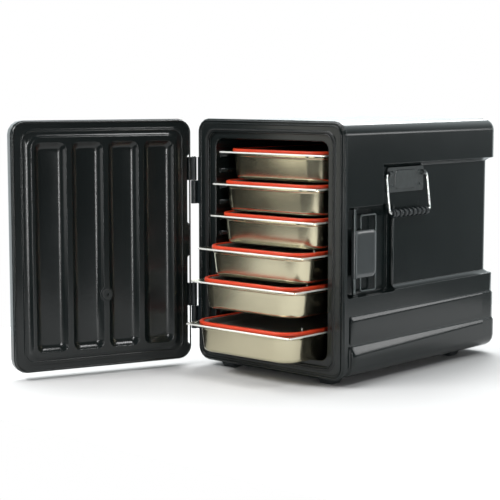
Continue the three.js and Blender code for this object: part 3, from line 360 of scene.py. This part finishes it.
def screw_tree():
    """A domed socket screw at each point, facing along the point's own direction."""
    tree, start, end = repeat_tree("screw_heads", [("Head radius", "Float"), ("Material", "Material")])
    radius = start["Head radius"]
    head = add(tree, "GeometryNodeMeshCone", {
        "Vertices": 32, "Radius Bottom": radius, "Radius Top": times(tree, radius, 0.62),
        "Depth": times(tree, radius, 0.5)})
    socket = add(tree, "GeometryNodeMeshCylinder", {
        "Vertices": 6, "Radius": times(tree, radius, 0.4), "Depth": times(tree, radius, 0.6)})
    lift = add(tree, "ShaderNodeCombineXYZ", {"Z": times(tree, radius, 0.5)})
    raised = add(tree, "GeometryNodeTransform", {
        "Geometry": socket.outputs["Mesh"], "Translation": lift.outputs["Vector"]})
    hollow = add(tree, "GeometryNodeMeshBoolean", {
        "Mesh 1": head.outputs["Mesh"], "Mesh 2": raised.outputs["Geometry"]}, operation="DIFFERENCE")
    points = add(tree, "GeometryNodeMeshToPoints", {"Mesh": start["Geometry"]})
    facing = add(tree, "GeometryNodeInputNamedAttribute", {"Name": "facing"}, data_type="FLOAT_VECTOR")
    turn = add(tree, "FunctionNodeAlignRotationToVector", {"Vector": facing.outputs["Attribute"]}, axis="Z")
    placed = add(tree, "GeometryNodeInstanceOnPoints", {
        "Points": points.outputs["Points"], "Instance": hollow.outputs["Mesh"],
        "Rotation": turn.outputs["Rotation"]})
    real = add(tree, "GeometryNodeRealizeInstances", {"Geometry": placed.outputs["Instances"]})
    coated = add(tree, "GeometryNodeSetMaterial", {
        "Geometry": real.outputs["Geometry"], "Material": start["Material"]})
    tree.links.new(coated.outputs["Geometry"], end.inputs["Geometry"])
    return tree


def rib_tree():
    """Round ribs in a row along Y, on the core that comes in, all moved to a place."""
    tree, start, end = repeat_tree("grip_ribs", [
        ("Count", "Int"), ("Pitch", "Float"), ("Radius", "Float"), ("Middle", "Vector"),
        ("Material", "Material")])
    step = add(tree, "ShaderNodeCombineXYZ", {"Y": start["Pitch"]})
    spans = add(tree, "ShaderNodeMath", {0: start["Count"], 1: -1}, operation="ADD")
    reach = times(tree, spans.outputs["Value"], -0.5)
    first = add(tree, "ShaderNodeVectorMath", {0: step.outputs["Vector"], "Scale": reach}, operation="SCALE")
    origin = add(tree, "ShaderNodeVectorMath", {
        0: first.outputs["Vector"], 1: start["Middle"]}, operation="ADD")
    row = add(tree, "GeometryNodeMeshLine", {
        "Count": start["Count"], "Start Location": origin.outputs["Vector"],
        "Offset": step.outputs["Vector"]})
    ring = add(tree, "GeometryNodeCurvePrimitiveCircle", {
        "Resolution": 40, "Radius": times(tree, start["Radius"], 0.62)})
    section = add(tree, "GeometryNodeCurvePrimitiveCircle", {
        "Resolution": 14, "Radius": times(tree, start["Radius"], 0.38)})
    rib = add(tree, "GeometryNodeCurveToMesh", {
        "Curve": ring.outputs["Curve"], "Profile Curve": section.outputs["Curve"]})
    laid = add(tree, "GeometryNodeTransform", {"Geometry": rib.outputs["Mesh"], "Rotation": (QUARTER, 0, 0)})
    placed = add(tree, "GeometryNodeInstanceOnPoints", {
        "Points": row.outputs["Mesh"], "Instance": laid.outputs["Geometry"]})
    real = add(tree, "GeometryNodeRealizeInstances", {"Geometry": placed.outputs["Instances"]})
    both = add(tree, "GeometryNodeJoinGeometry")
    tree.links.new(real.outputs["Geometry"], both.inputs["Geometry"])
    tree.links.new(start["Geometry"], both.inputs["Geometry"])
    coated = add(tree, "GeometryNodeSetMaterial", {
        "Geometry": both.outputs["Geometry"], "Material": start["Material"]})
    tree.links.new(coated.outputs["Geometry"], end.inputs["Geometry"])
    return tree


def repeated(piece, tree, values):
    """Runs a geometry tree on a piece with its named inputs, and leaves a plain mesh."""
    modifier = piece.modifiers.new("Repeats", "NODES")
    modifier.node_group = tree
    for item in tree.interface.items_tree:
        if item.in_out == "INPUT" and item.name in values:
            modifier[item.identifier] = values[item.name]
    plain_mesh(piece)
    smooth(piece.data)
    return piece


def screws(name, places, radius, material):
    """Screw heads on (point, direction) places."""
    mesh = bpy.data.meshes.new(name)
    mesh.from_pydata([point for point, _ in places], [], [])
    facing = mesh.attributes.new("facing", "FLOAT_VECTOR", "POINT")
    for item, (_, direction) in zip(facing.data, places):
        item.vector = direction
    return repeated(new_object(name, mesh), screw_tree(), {"Head radius": radius, "Material": material})


def finish(piece, body, material, slot, *nodes):
    """Gives a piece its material and puts it on its body in place of its nodes; the slot is not used."""
    piece.data.materials.clear()
    piece.data.materials.append(material)
    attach(piece, body)
    if nodes:
        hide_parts(*nodes)


# Materials

def add(tree, kind, inputs=(), **settings):
    """Adds a node with its settings, and gives its inputs values or links."""
    node = tree.nodes.new(kind)
    for key, value in settings.items():
        setattr(node, key, value)
    for key, value in dict(inputs).items():
        if isinstance(value, bpy.types.NodeSocket):
            tree.links.new(value, node.inputs[key])
        else:
            node.inputs[key].default_value = value
    return node


def blank(name):
    """An empty material with its coordinates, shader and output."""
    material = bpy.data.materials.new(name)
    material.use_nodes = True
    tree = material.node_tree
    tree.nodes.clear()
    shader = add(tree, "ShaderNodeBsdfPrincipled")
    add(tree, "ShaderNodeOutputMaterial", {"Surface": shader.outputs["BSDF"]})
    place = add(tree, "ShaderNodeTexCoord").outputs["Object"]
    return material, tree, shader, place


def varied(tree, shader, place, colour, light, size, roughness, spread):
    """Slow changes of shade and roughness at a real size in metres."""
    noise = add(tree, "ShaderNodeTexNoise", {
        "Vector": place, "Scale": 1 / size, "Detail": 4, "Roughness": 0.6})
    shades = add(tree, "ShaderNodeMix", {"Factor": noise.outputs["Fac"]}, data_type="RGBA")
    shades.inputs[6].default_value = (*colour, 1)
    shades.inputs[7].default_value = (*[min(1, c * light) for c in colour], 1)
    tree.links.new(shades.outputs[2], shader.inputs["Base Color"])
    gloss = add(tree, "ShaderNodeMapRange", {
        "Value": noise.outputs["Fac"], "To Min": roughness - spread, "To Max": roughness + spread})
    tree.links.new(gloss.outputs["Result"], shader.inputs["Roughness"])


def grained(tree, shader, place, size, strength, depth, stretch=(1, 1, 1), detail=2.0):
    """A fine bump at a real size in metres, stretched along an axis where it was drawn or brushed."""
    lay = add(tree, "ShaderNodeMapping", {"Vector": place, "Scale": stretch})
    noise = add(tree, "ShaderNodeTexNoise", {
        "Vector": lay.outputs["Vector"], "Scale": 1 / size, "Detail": detail, "Roughness": 0.55})
    bump = add(tree, "ShaderNodeBump", {
        "Height": noise.outputs["Fac"], "Strength": strength, "Distance": depth})
    tree.links.new(bump.outputs["Normal"], shader.inputs["Normal"])


def rotomoulded_polyethylene(name, colour):
    # Rotationally moulded polyethylene: a deep black skin with a soft orange peel that blurs reflections.
    # The real peel is about 1.5 mm across and is drawn at 6 mm so that it shows.
    material, tree, shader, place = blank(name)
    shader.inputs["IOR"].default_value = 1.42
    varied(tree, shader, place, colour, light=1.5, size=0.09, roughness=0.2, spread=0.03)
    grained(tree, shader, place, size=0.006, strength=0.05, depth=0.0003)
    return material


def formed_polyethylene(name, colour):
    # Vacuum-formed polyethylene sheet: smoother than the outside, glossier where it stretched over the mould.
    material, tree, shader, place = blank(name)
    shader.inputs["IOR"].default_value = 1.45
    varied(tree, shader, place, colour, light=1.4, size=0.12, roughness=0.22, spread=0.05)
    grained(tree, shader, place, size=0.014, strength=0.16, depth=0.0007)
    return material


def moulded_nylon(name, colour, light):
    # Glass-filled nylon: matt, with a dry grain from the fibres at the skin and paler scuffed patches.
    material, tree, shader, place = blank(name)
    shader.inputs["IOR"].default_value = 1.48
    varied(tree, shader, place, colour, light=light, size=0.011, roughness=0.4, spread=0.1)
    grained(tree, shader, place, size=0.0015, strength=0.3, depth=0.0003)
    return material


def glossy_plastic(name, colour):
    # Injection-moulded lever in glossy ABS: clear reflections with faint handling marks.
    material, tree, shader, place = blank(name)
    shader.inputs["IOR"].default_value = 1.54
    varied(tree, shader, place, colour, light=1.15, size=0.03, roughness=0.2, spread=0.05)
    grained(tree, shader, place, size=0.02, strength=0.15, depth=0.0005)
    return material


def soft_rubber(name, colour, roughness):
    # Moulded rubber: deep black with a dusty bloom that lightens it in patches.
    material, tree, shader, place = blank(name)
    shader.inputs["IOR"].default_value = 1.5
    varied(tree, shader, place, colour, light=1.8, size=0.015, roughness=roughness, spread=0.08)
    grained(tree, shader, place, size=0.001, strength=0.35, depth=0.0002)
    return material


def silicone(name, colour):
    # Cast silicone rim: saturated and waxy, so a little light goes through its edges.
    material, tree, shader, place = blank(name)
    shader.inputs["IOR"].default_value = 1.41
    shader.inputs["Subsurface Weight"].default_value = 0.15
    shader.inputs["Subsurface Radius"].default_value = (0.006, 0.002, 0.001)
    varied(tree, shader, place, colour, light=1.12, size=0.03, roughness=0.38, spread=0.06)
    grained(tree, shader, place, size=0.004, strength=0.12, depth=0.0003)
    return material


def drawn_steel(name, colour):
    # Deep-drawn stainless sheet: satin, with upright draw marks on its walls and a warm tint from wear.
    material, tree, shader, place = blank(name)
    shader.inputs["Metallic"].default_value = 1
    varied(tree, shader, place, colour, light=1.12, size=0.06, roughness=0.23, spread=0.05)
    grained(tree, shader, place, size=0.005, strength=0.1, depth=0.0003, stretch=(1, 1, 0.05), detail=3)
    return material


def edge_highlight_steel(name, colour):
    # Painted highlight on the pans' rolled edges: a paler, half-metallic steel that scatters light from all
    # round, so the edges stay bright inside the dark cavity.
    material, tree, shader, place = blank(name)
    shader.inputs["Metallic"].default_value = 0.55
    varied(tree, shader, place, colour, light=1.05, size=0.02, roughness=0.42, spread=0.06)
    grained(tree, shader, place, size=0.001, strength=0.1, depth=0.0001)
    return material


def polished_steel(name, colour, roughness):
    # Polished stainless: mirror-like, with fine wiping scratches that spread the highlights.
    material, tree, shader, place = blank(name)
    shader.inputs["Metallic"].default_value = 1
    varied(tree, shader, place, colour, light=1.08, size=0.05, roughness=roughness, spread=0.04)
    grained(tree, shader, place, size=0.002, strength=0.06, depth=0.0002, stretch=(0.1, 1, 1), detail=3)
    return material


def finish_materials(colours):
    """All the carrier's materials by their record slots."""
    return {
        "body_plastic": rotomoulded_polyethylene("rotomoulded_polyethylene", colours.body),
        "liner_plastic": formed_polyethylene("vacuum_formed_polyethylene", colours.liner),
        "gasket_rubber": soft_rubber("extruded_rubber_seal", colours.gasket, 0.5),
        "foot_rubber": soft_rubber("moulded_rubber_foot", colours.grip, 0.7),
        "hinge_plastic": moulded_nylon("glass_filled_nylon_hinge", colours.hinge, 1.4),
        "bracket_plastic": moulded_nylon("scuffed_nylon_bracket", colours.bracket, 5.5),
        "vent_plastic": moulded_nylon("moulded_vent_plastic", colours.liner, 1.4),
        "latch_plastic": glossy_plastic("glossy_moulded_abs", colours.lever),
        "fitting_steel": polished_steel("polished_stainless_wire", colours.wire, 0.16),
        # Painted shade: the latch's axle and loop take the darkened steel of their shaded pocket.
        "latch_steel": polished_steel("shaded_stainless_wire", colours.shaded_latch_wire, 0.34),
        "screw_steel": polished_steel("zinc_plated_screw", colours.shaded_latch_wire, 0.28),
        "pan_steel": drawn_steel("deep_drawn_stainless_steel", colours.pan),
        "pan_edge_highlight": edge_highlight_steel("painted_highlight_steel_edge", colours.pan_edge_highlight),
        "lid_steel": polished_steel("polished_stainless_lid", colours.lid, 0.42),
        "lid_silicone": silicone("cast_silicone_rim", colours.silicone),
        "grip_rubber": soft_rubber("ribbed_rubber_grip", colours.grip, 0.38),
    }


def material_for(slot):
    return bpy.data.materials[bpy.context.scene["carrier_materials"][slot]]


class CARRIER_OT_materials(bpy.types.Operator):
    """Make the materials of the plastics, rubbers and steels"""
    bl_idname = "carrier.materials"
    bl_label = "Materials"

    def execute(self, context):
        made = finish_materials(context.scene.carrier_colours)
        context.scene["carrier_materials"] = {slot: m.name for slot, m in made.items()}
        return {"FINISHED"}


# Pieces

def shell_outline(inset):
    """An outline at an inset from the shell's edge, in mm."""
    half, low, high, corner = SHELL_EDGE
    return half - inset, low + inset, high - inset, corner - inset


def frame_outline(share):
    """An outline between the rim bead's edge, share 0, and the cavity's edge, share 1, in mm."""
    return [edge + (mouth - edge) * share for edge, mouth in zip(RIM_EDGE, MOUTH_EDGE)]


# Each bead's outline, depth behind the front face and radius, in mm
FRAME_BEADS = {
    "seal_inner_lip": (frame_outline(0.64), 2, 2),
    "seal_outer_lip": (frame_outline(0.498), 1.35, 2),
    "frame_inner_bead": (shell_outline(7.4), 0.8, 2.2),
    "frame_outer_bead": (shell_outline(1.2), 1.6, 2.2),
}


def frame_bead(name, outline, depth, radius):
    """A thin round bead round the opening."""
    half, low, high, corner = [value * MM for value in outline]
    rings = []
    for step in range(BEAD_SIDES):
        angle = 2 * math.pi * step / BEAD_SIDES
        out = -radius * MM * math.cos(angle)
        y = FRONT + depth * MM - radius * MM * math.sin(angle)
        points = rounded_rectangle(-half + out, half - out, low + out, high - out, corner - out, steps=16)
        rings.append([Vector((x, y, z)) for x, z in points])
    return loft(name, rings, closed=True, degrees=80)


def skirt_roll(name, out, step, low, high, crown, band):
    """A soft roll along a skirt step: full at its round front end and flat towards the back."""
    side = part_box("outer_shell")[1].x - LOWER_STEP * MM
    nose = [ROLL_FRONT + ROLL_NOSE * (1 - math.cos(QUARTER * n / 6)) for n in range(7)]
    rings = []
    for along in nose + list(range(60, ROLL_BACK + 1, ROLL_SPACING)):
        swell = math.sqrt(max(0, 1 - max(0, 1 - (along - ROLL_FRONT) / ROLL_NOSE) ** 2))
        fade = 1 - (along - ROLL_FRONT) / (ROLL_BACK - ROLL_FRONT) * ROLL_FADE
        ring = []
        for n in range(25):
            drop = (high - low) * (n / 24) ** 1.6
            reach = band * fade
            if drop < reach:
                rise = 1.2 * drop / reach - 0.2 * (drop / reach) ** 6
            else:
                rise = math.cos(QUARTER * (drop - reach) / (high - low - reach))
            height = crown * swell * fade * rise - 0.2
            ring.append(Vector((out * (side + (step + height) * MM), FRONT + along * MM, (high - drop) * MM)))
        for height in (low, high):
            ring.append(Vector((out * (side + (step - 1.5) * MM), FRONT + along * MM, height * MM)))
        rings.append(ring)
    return loft(name, rings, degrees=60)


class CARRIER_OT_body(bpy.types.Operator):
    """Finish the outer shell, the inner liner, the seal and the feet"""
    bl_idname = "carrier.body"
    bl_label = "Body"

    def execute(self, context):
        sizes = context.scene.carrier_sizes
        shell = moulded("body_shell", "outer_shell", sizes.moulded_edge)
        finish(shell, "carrier", material_for("body_plastic"), "body_plastic", "outer_shell")
        liner = moulded("cavity_liner", "inner_liner", sizes.moulded_edge)
        finish(liner, "carrier", material_for("liner_plastic"), "liner_plastic", "inner_liner")
        seal = moulded("opening_seal", "front_gasket", sizes.fine_edge)
        finish(seal, "carrier", material_for("gasket_rubber"), "gasket_rubber", "front_gasket")
        for name, section in FRAME_BEADS.items():
            finish(frame_bead(name, *section), "carrier", material_for("liner_plastic"), "liner_plastic")
        across, behind = RIDGE_PLACE
        profile = [(radius * MM, height * MM) for radius, height in POCKET_RIDGE]
        ridge = turned("pocket_ridge", profile, Vector((across * MM, FRONT + behind * MM, 0)))
        finish(ridge, "carrier", material_for("body_plastic"), "body_plastic")
        for side, out in (("right", 1), ("left", -1)):
            for level, *section in SKIRT_ROLLS:
                roll = skirt_roll(f"skirt_{level}_roll_{side}", out, *section)
                finish(roll, "carrier", material_for("body_plastic"), "body_plastic")
        for corner in ("front_left", "front_right", "rear_left", "rear_right"):
            foot = moulded(f"rubber_foot_{corner}", f"foot_{corner}", sizes.moulded_edge)
            finish(foot, "carrier", material_for("foot_rubber"), "foot_rubber", f"foot_{corner}")
        return {"FINISHED"}


def door_bead(name, inset, radius, depth, width):
    """A low round bead all round the door's inside, at an inset from the door's edge."""
    half_width, low, high = DOOR_HALF * MM, DOOR_LOW * MM, DOOR_HIGH * MM
    rings = []
    for step in range(9):
        angle = math.pi * step / 8
        out = inset - width / 2 * math.cos(angle)
        rise = depth + width / 3 * math.sin(angle)
        outline = rounded_rectangle(
            -half_width + out, half_width - out, low + out, high - out, radius - out + inset, steps=12)
        rings.append([shown_door(Vector((x, rise, z))) for x, z in outline])
    return loft(name, rings, closed=True, degrees=80)


class CARRIER_OT_door(bpy.types.Operator):
    """Finish the door's shell, its channelled inside and its vent"""
    bl_idname = "carrier.door"
    bl_label = "Door"

    def execute(self, context):
        sizes = context.scene.carrier_sizes
        shell = moulded("door_shell", "door_outer_shell", sizes.moulded_edge)
        finish(shell, "door", material_for("body_plastic"), "body_plastic", "door_outer_shell")
        inside = moulded("door_inside", "door_liner", sizes.moulded_edge)
        finish(inside, "door", material_for("liner_plastic"), "liner_plastic", "door_liner")
        vent = moulded("door_vent_cap", "door_vent", sizes.fine_edge)
        finish(vent, "door", material_for("vent_plastic"), "vent_plastic", "door_vent")
        for name, inset, radius, depth in DOOR_BEADS:
            bead = door_bead(name, inset * MM, radius * MM, depth * MM, sizes.bead_width)
            finish(bead, "door", material_for("liner_plastic"), "liner_plastic")
        return {"FINISHED"}


class CARRIER_OT_hinges(bpy.types.Operator):
    """Finish the two lift-off hinges and their pins"""
    bl_idname = "carrier.hinges"
    bl_label = "Hinges"

    def execute(self, context):
        sizes = context.scene.carrier_sizes
        for place in ("lower", "upper"):
            for side, body in (("body", "carrier"), ("door", "door")):
                node = f"hinge_{place}_{side}_leaf"
                leaf = moulded(f"hinge_{place}_{side}_half", node, sizes.fine_edge)
                finish(leaf, body, material_for("hinge_plastic"), "hinge_plastic", node)
            pin = moulded(f"hinge_{place}_steel_pin", f"hinge_{place}_pin", sizes.fine_edge)
            finish(pin, "carrier", material_for("fitting_steel"), "fitting_steel", f"hinge_{place}_pin")
        return {"FINISHED"}


class CARRIER_OT_latch(bpy.types.Operator):
    """Finish the latch's axle, lever and wire loop"""
    bl_idname = "carrier.latch"
    bl_label = "Latch"

    def execute(self, context):
        sizes = context.scene.carrier_sizes
        axle = moulded("latch_steel_axle", "latch_axle", sizes.fine_edge)
        finish(axle, "carrier", material_for("latch_steel"), "fitting_steel", "latch_axle")
        lever = moulded("latch_grey_lever", "latch_lever", sizes.fine_edge)
        finish(lever, "latch_lever", material_for("latch_plastic"), "latch_plastic", "latch_lever")
        hinge = pivot("latch_loop_pivot")
        corners = [
            hinge + Vector((0, 0, -LOOP_HALF)), hinge + Vector((0, LOOP_LENGTH, -LOOP_HALF)),
            hinge + Vector((0, LOOP_LENGTH, LOOP_HALF)), hinge + Vector((0, 0, LOOP_HALF)),
        ]
        loop = wire("latch_wire_loop", corners, LOOP_BEND, sizes.loop_wire, closed=True)
        finish(loop, "latch_loop", material_for("latch_steel"), "fitting_steel", "latch_loop")
        return {"FINISHED"}


def ribbed_grip(name, middle, sizes):
    """A round core with a bore for the wire, collars at its ends, and round ribs between them."""
    half = GRIP_HALF
    bore = sizes.bail_wire + 0.4 * MM
    core = sizes.rib_radius * 0.66
    collar = core + COLLAR_RISE
    rise, fall, end = 1.5 * MM, 4 * MM, 5 * MM
    profile = [
        (bore, -half), (core, -half), (collar, -half + rise), (collar, -half + fall), (core, -half + end),
        (core, half - end), (collar, half - fall), (collar, half - rise), (core, half), (bore, half),
        (bore, -half),
    ]
    piece = turned(name, profile, middle, axis="Y", sides=40)
    return repeated(piece, rib_tree(), {
        "Count": sizes.rib_count, "Pitch": sizes.rib_pitch, "Radius": sizes.rib_radius,
        "Middle": middle[:], "Material": material_for("grip_rubber")})


class CARRIER_OT_handles(bpy.types.Operator):
    """Finish the handles' brackets, bails and ribbed grips"""
    bl_idname = "carrier.handles"
    bl_label = "Handles"

    def execute(self, context):
        sizes = context.scene.carrier_sizes
        for side in ("right", "left"):
            node = f"handle_{side}"
            bracket = moulded(f"{node}_plate", f"{node}_bracket", sizes.fine_edge)
            finish(bracket, "carrier", material_for("bracket_plastic"), "bracket_plastic", f"{node}_bracket")
            hinge = pivot(f"{node}_pivot")
            out = 1 if side == "right" else -1
            drop = Vector((out * math.sin(BAIL_LEAN), 0, -math.cos(BAIL_LEAN))) * BAIL_DROP
            run, end = Vector((0, BAIL_HALF, 0)), Vector((0, BAIL_END, 0))
            arms = [hinge - end, hinge - run, hinge - run + drop]
            corners = [*arms, hinge + run + drop, hinge + run, hinge + end]
            bail = wire(f"{node}_wire", corners, BAIL_BEND, sizes.bail_wire)
            finish(bail, node, material_for("fitting_steel"), "fitting_steel", f"{node}_bail")
            grip = ribbed_grip(f"{node}_ribbed_grip", hinge + drop, sizes)
            finish(grip, node, material_for("grip_rubber"), "grip_rubber", f"{node}_grip")
        places = []
        for out, node in ((1, "handle_right_bracket"), (-1, "handle_left_bracket")):
            low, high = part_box(node)
            middle = (low.y + high.y) / 2
            plate = (low.x if out > 0 else high.x) + out * BRACKET_PLATE
            for along, below in SCREW_PLACES:
                point = Vector((plate, middle + along * MM, high.z - below * MM))
                places.append((point, Vector((out, 0, 0))))
        heads = screws("bracket_screws", places, sizes.screw_radius, material_for("screw_steel"))
        finish(heads, "carrier", material_for("screw_steel"), "fitting_steel")
        return {"FINISHED"}


class CARRIER_OT_pans(bpy.types.Operator):
    """Make the six steel pans and their lids"""
    bl_idname = "carrier.pans"
    bl_label = "Pans and lids"

    def execute(self, context):
        sizes = context.scene.carrier_sizes
        for number in range(1, PAN_COUNT + 1):
            make_pan(sizes, number)
            make_lid(sizes, number)
        return {"FINISHED"}


def pan_ring(box, inset, height, sizes, flange=False):
    """A ring of a pan at an inset from its flange's edge and a height over the flange's top."""
    low, high = box
    if flange and inset < sizes.flange - 1e-6:
        radius = max(sizes.flange_radius - inset, sizes.sheet)
    else:
        radius = sizes.basin_radius + sizes.flange - inset
    outline = rounded_rectangle(
        low.x + inset, high.x - inset, low.y + inset, high.y - inset, radius, steps=12)
    return [Vector((x, y, high.z + height)) for x, y in outline]


def make_pan(sizes, number):
    node = f"pan_{number}"
    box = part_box(node)
    depth = box[1].z - box[0].z
    sheet, flange = sizes.sheet, sizes.flange
    wall_top = flange + 2.5 * MM
    foot = wall_top + 6 * MM
    floor = foot + 20 * MM
    neck, shoulder = -9 * MM, -11.5 * MM  # the stacking step under the flange
    edge = -3.5 * MM  # the lower end of the turned-down edge
    step_round, foot_round = 3 * MM, 12 * MM
    section = [
        (floor, -depth, 0),
        (foot, -depth, foot_round),
        (wall_top, shoulder, step_round),
        (flange, neck, step_round),
        (flange, -sheet, 1.5 * MM),
        (sheet, -sheet, 1 * MM),
        (sheet, edge, 0),
        (0, edge, 0),
        (0, 0, 2.5 * MM),
        (flange + sheet, 0, 1.5 * MM),
        (flange + sheet, neck, step_round),
        (wall_top + sheet, shoulder, step_round),
        (foot + sheet, sheet - depth, foot_round),
        (floor, sheet - depth, 0),
    ]
    rings = [pan_ring(box, a, b, sizes, flange=True) for a, b in rounded_path(section)]
    piece = loft(f"steel_pan_{number}", rings, degrees=50)
    finish(piece, f"pan_set_{number}", material_for("pan_steel"), "pan_steel", node)
    # Painted highlight: faces within 2.2 mm of the flange's outer edge take the paler edge steel.
    piece.data.materials.append(material_for("pan_edge_highlight"))
    for face in piece.data.polygons:
        x, y, _ = face.center
        if min(x - box[0].x, box[1].x - x, y - box[0].y, box[1].y - y) < 2.2 * MM:
            face.material_index = 1


def make_lid(sizes, number):
    node = f"pan_{number}"
    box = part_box(node)
    body = f"pan_set_{number}"
    outer = sizes.flange - 2.4 * MM
    inner = outer + sizes.rim_width
    top = sizes.rim_height
    skirt = sizes.flange + sizes.sheet + 0.3 * MM
    gap, rim_round = 0.3 * MM, 3.6 * MM
    section = [
        (outer, gap, 0.6 * MM),
        (outer, top, rim_round),
        (inner, top, rim_round),
        (inner, 2.9 * MM, 0),
        (skirt + 1.5 * MM, -6 * MM, 0.5 * MM),
        (skirt, gap, 0),
    ]
    rings = [pan_ring(box, a, b, sizes) for a, b in rounded_path(section, steps=5, closed=True)]
    rim = loft(f"silicone_rim_{number}", rings, closed=True, degrees=50)
    finish(rim, body, material_for("lid_silicone"), "lid_silicone", f"{node}_lid_seal")
    edge = inner + gap
    bend = edge + 11 * MM
    well = bend + 10 * MM
    middle = bend + 30 * MM
    high, low = 3.2 * MM, -7.2 * MM
    sheet = 1.2 * MM
    bend_round, well_round = 3 * MM, 4 * MM
    plate = [
        (middle, low, 0),
        (well, low, well_round),
        (bend, high, bend_round),
        (edge, high, 0),
        (edge, high + sheet, 0.4 * MM),
        (bend, high + sheet, bend_round),
        (well, low + sheet, well_round),
        (middle, low + sheet, 0),
    ]
    rings = [pan_ring(box, a, b, sizes) for a, b in rounded_path(plate)]
    sheet_piece = loft(f"steel_lid_{number}", rings, degrees=50)
    finish(sheet_piece, body, material_for("lid_steel"), "lid_steel", f"{node}_lid")
    vent = moulded(f"lid_vent_button_{number}", f"{node}_lid_vent", sizes.fine_edge)
    finish(vent, body, material_for("fitting_steel"), "fitting_steel", f"{node}_lid_vent")


# Studio

def softbox(name, location, target, size, power, colour):
    light = bpy.data.lights.new(name, "AREA")
    light.shape = "RECTANGLE"
    light.size, light.size_y = size
    light.energy = power
    light.color = colour
    lamp = new_object(name, light)
    lamp.location = location
    lamp.rotation_euler = (Vector(target) - Vector(location)).to_track_quat("-Z", "Y").to_euler()


def sun_lamp(name, towards, strength, degrees):
    light = bpy.data.lights.new(name, "SUN")
    light.energy = strength
    light.angle = math.radians(degrees)
    lamp = new_object(name, light)
    lamp.rotation_euler = Vector(towards).to_track_quat("Z", "Y").to_euler()


def studio_world():
    """A white backdrop behind the carrier and a dim room before it, white wherever it is seen directly."""
    world = bpy.data.worlds.new("studio_world")
    world.use_nodes = True
    tree = world.node_tree
    tree.nodes.clear()
    place = add(tree, "ShaderNodeTexCoord").outputs["Generated"]
    side = add(tree, "ShaderNodeVectorMath", {0: place, 1: BEHIND}, operation="DOT_PRODUCT")
    fade = add(tree, "ShaderNodeMapRange", {
        "Value": side.outputs["Value"], "From Min": 0.1, "From Max": 0.75, "To Min": 0.1, "To Max": 1.6},
        interpolation_type="SMOOTHSTEP")
    room = add(tree, "ShaderNodeBackground", {"Color": (0.9, 0.98, 1, 1), "Strength": fade.outputs["Result"]})
    backdrop = add(tree, "ShaderNodeBackground", {"Color": (1, 1, 1, 1), "Strength": 1.0})
    seen = add(tree, "ShaderNodeLightPath").outputs["Is Camera Ray"]
    mix = add(tree, "ShaderNodeMixShader", {0: seen, 1: room.outputs[0], 2: backdrop.outputs[0]})
    add(tree, "ShaderNodeOutputWorld", {"Surface": mix.outputs[0]})
    return world


class CARRIER_OT_stage(bpy.types.Operator):
    """Lay the pale floor and set the lights and the camera"""
    bl_idname = "carrier.stage"
    bl_label = "Stage"

    def execute(self, context):
        scene = context.scene
        scene.view_settings.view_transform = "Standard"
        reach = FLOOR_REACH
        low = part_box("foot_front_left")[0].z
        mesh = bpy.data.meshes.new("studio_floor")
        corners = [(-reach, -reach, low), (reach, -reach, low), (reach, reach, low), (-reach, reach, low)]
        mesh.from_pydata(corners, [], [(0, 1, 2, 3)])
        floor = new_object("studio_floor", mesh)
        material, _, shader, _ = blank("matt_white_floor")
        shader.inputs["Base Color"].default_value = (FLOOR_SHADE, FLOOR_SHADE, FLOOR_SHADE, 1)
        shader.inputs["Roughness"].default_value = 1
        shader.inputs["Specular IOR Level"].default_value = 0
        mesh.materials.append(material)
        scene.world = studio_world()
        sun_lamp("overhead_sun", (-0.25, 0.2, 1), 2.4, 60)
        for box in SOFTBOXES:
            softbox(*box)
        data = bpy.data.cameras.new("photo_camera")
        data.sensor_width = CAMERA_SENSOR
        data.lens = CAMERA_LENS
        camera = new_object("photo_camera", data)
        x, y, z = CAMERA_PLACE
        camera.location = (x, FRONT + y, z)
        yaw, pitch = CAMERA_YAW, CAMERA_PITCH
        look = Vector((-math.sin(yaw) * math.cos(pitch), math.cos(yaw) * math.cos(pitch), -math.sin(pitch)))
        camera.rotation_euler = look.to_track_quat("-Z", "Y").to_euler()
        scene.camera = camera
        return {"FINISHED"}


class CARRIER_PT_panel(bpy.types.Panel):
    """The carrier's sizes, colours and steps"""
    bl_label = "Food Carrier"
    bl_idname = "CARRIER_PT_panel"
    bl_space_type = "VIEW_3D"
    bl_region_type = "UI"
    bl_category = "Carrier"

    def draw(self, context):
        layout = self.layout
        for group in (context.scene.carrier_sizes, context.scene.carrier_colours):
            for key in group.bl_rna.properties.keys():
                if key not in ("rna_type", "name"):
                    layout.prop(group, key)
        for operator in STEPS:
            layout.operator(operator.bl_idname)


STEPS = (
    CARRIER_OT_materials,
    CARRIER_OT_body,
    CARRIER_OT_door,
    CARRIER_OT_hinges,
    CARRIER_OT_latch,
    CARRIER_OT_handles,
    CARRIER_OT_pans,
    CARRIER_OT_stage,
)
CLASSES = (CarrierColours, CarrierSizes, *STEPS, CARRIER_PT_panel)


def register():
    for cls in CLASSES:
        bpy.utils.register_class(cls)
    bpy.types.Scene.carrier_colours = bpy.props.PointerProperty(type=CarrierColours)
    bpy.types.Scene.carrier_sizes = bpy.props.PointerProperty(type=CarrierSizes)


def unregister():
    del bpy.types.Scene.carrier_sizes
    del bpy.types.Scene.carrier_colours
    for cls in reversed(CLASSES):
        bpy.utils.unregister_class(cls)


def main():
    register()
    for step in STEPS:
        category, name = step.bl_idname.split(".")
        getattr(getattr(bpy.ops, category), name)()


if __name__ == "__main__":
    main()
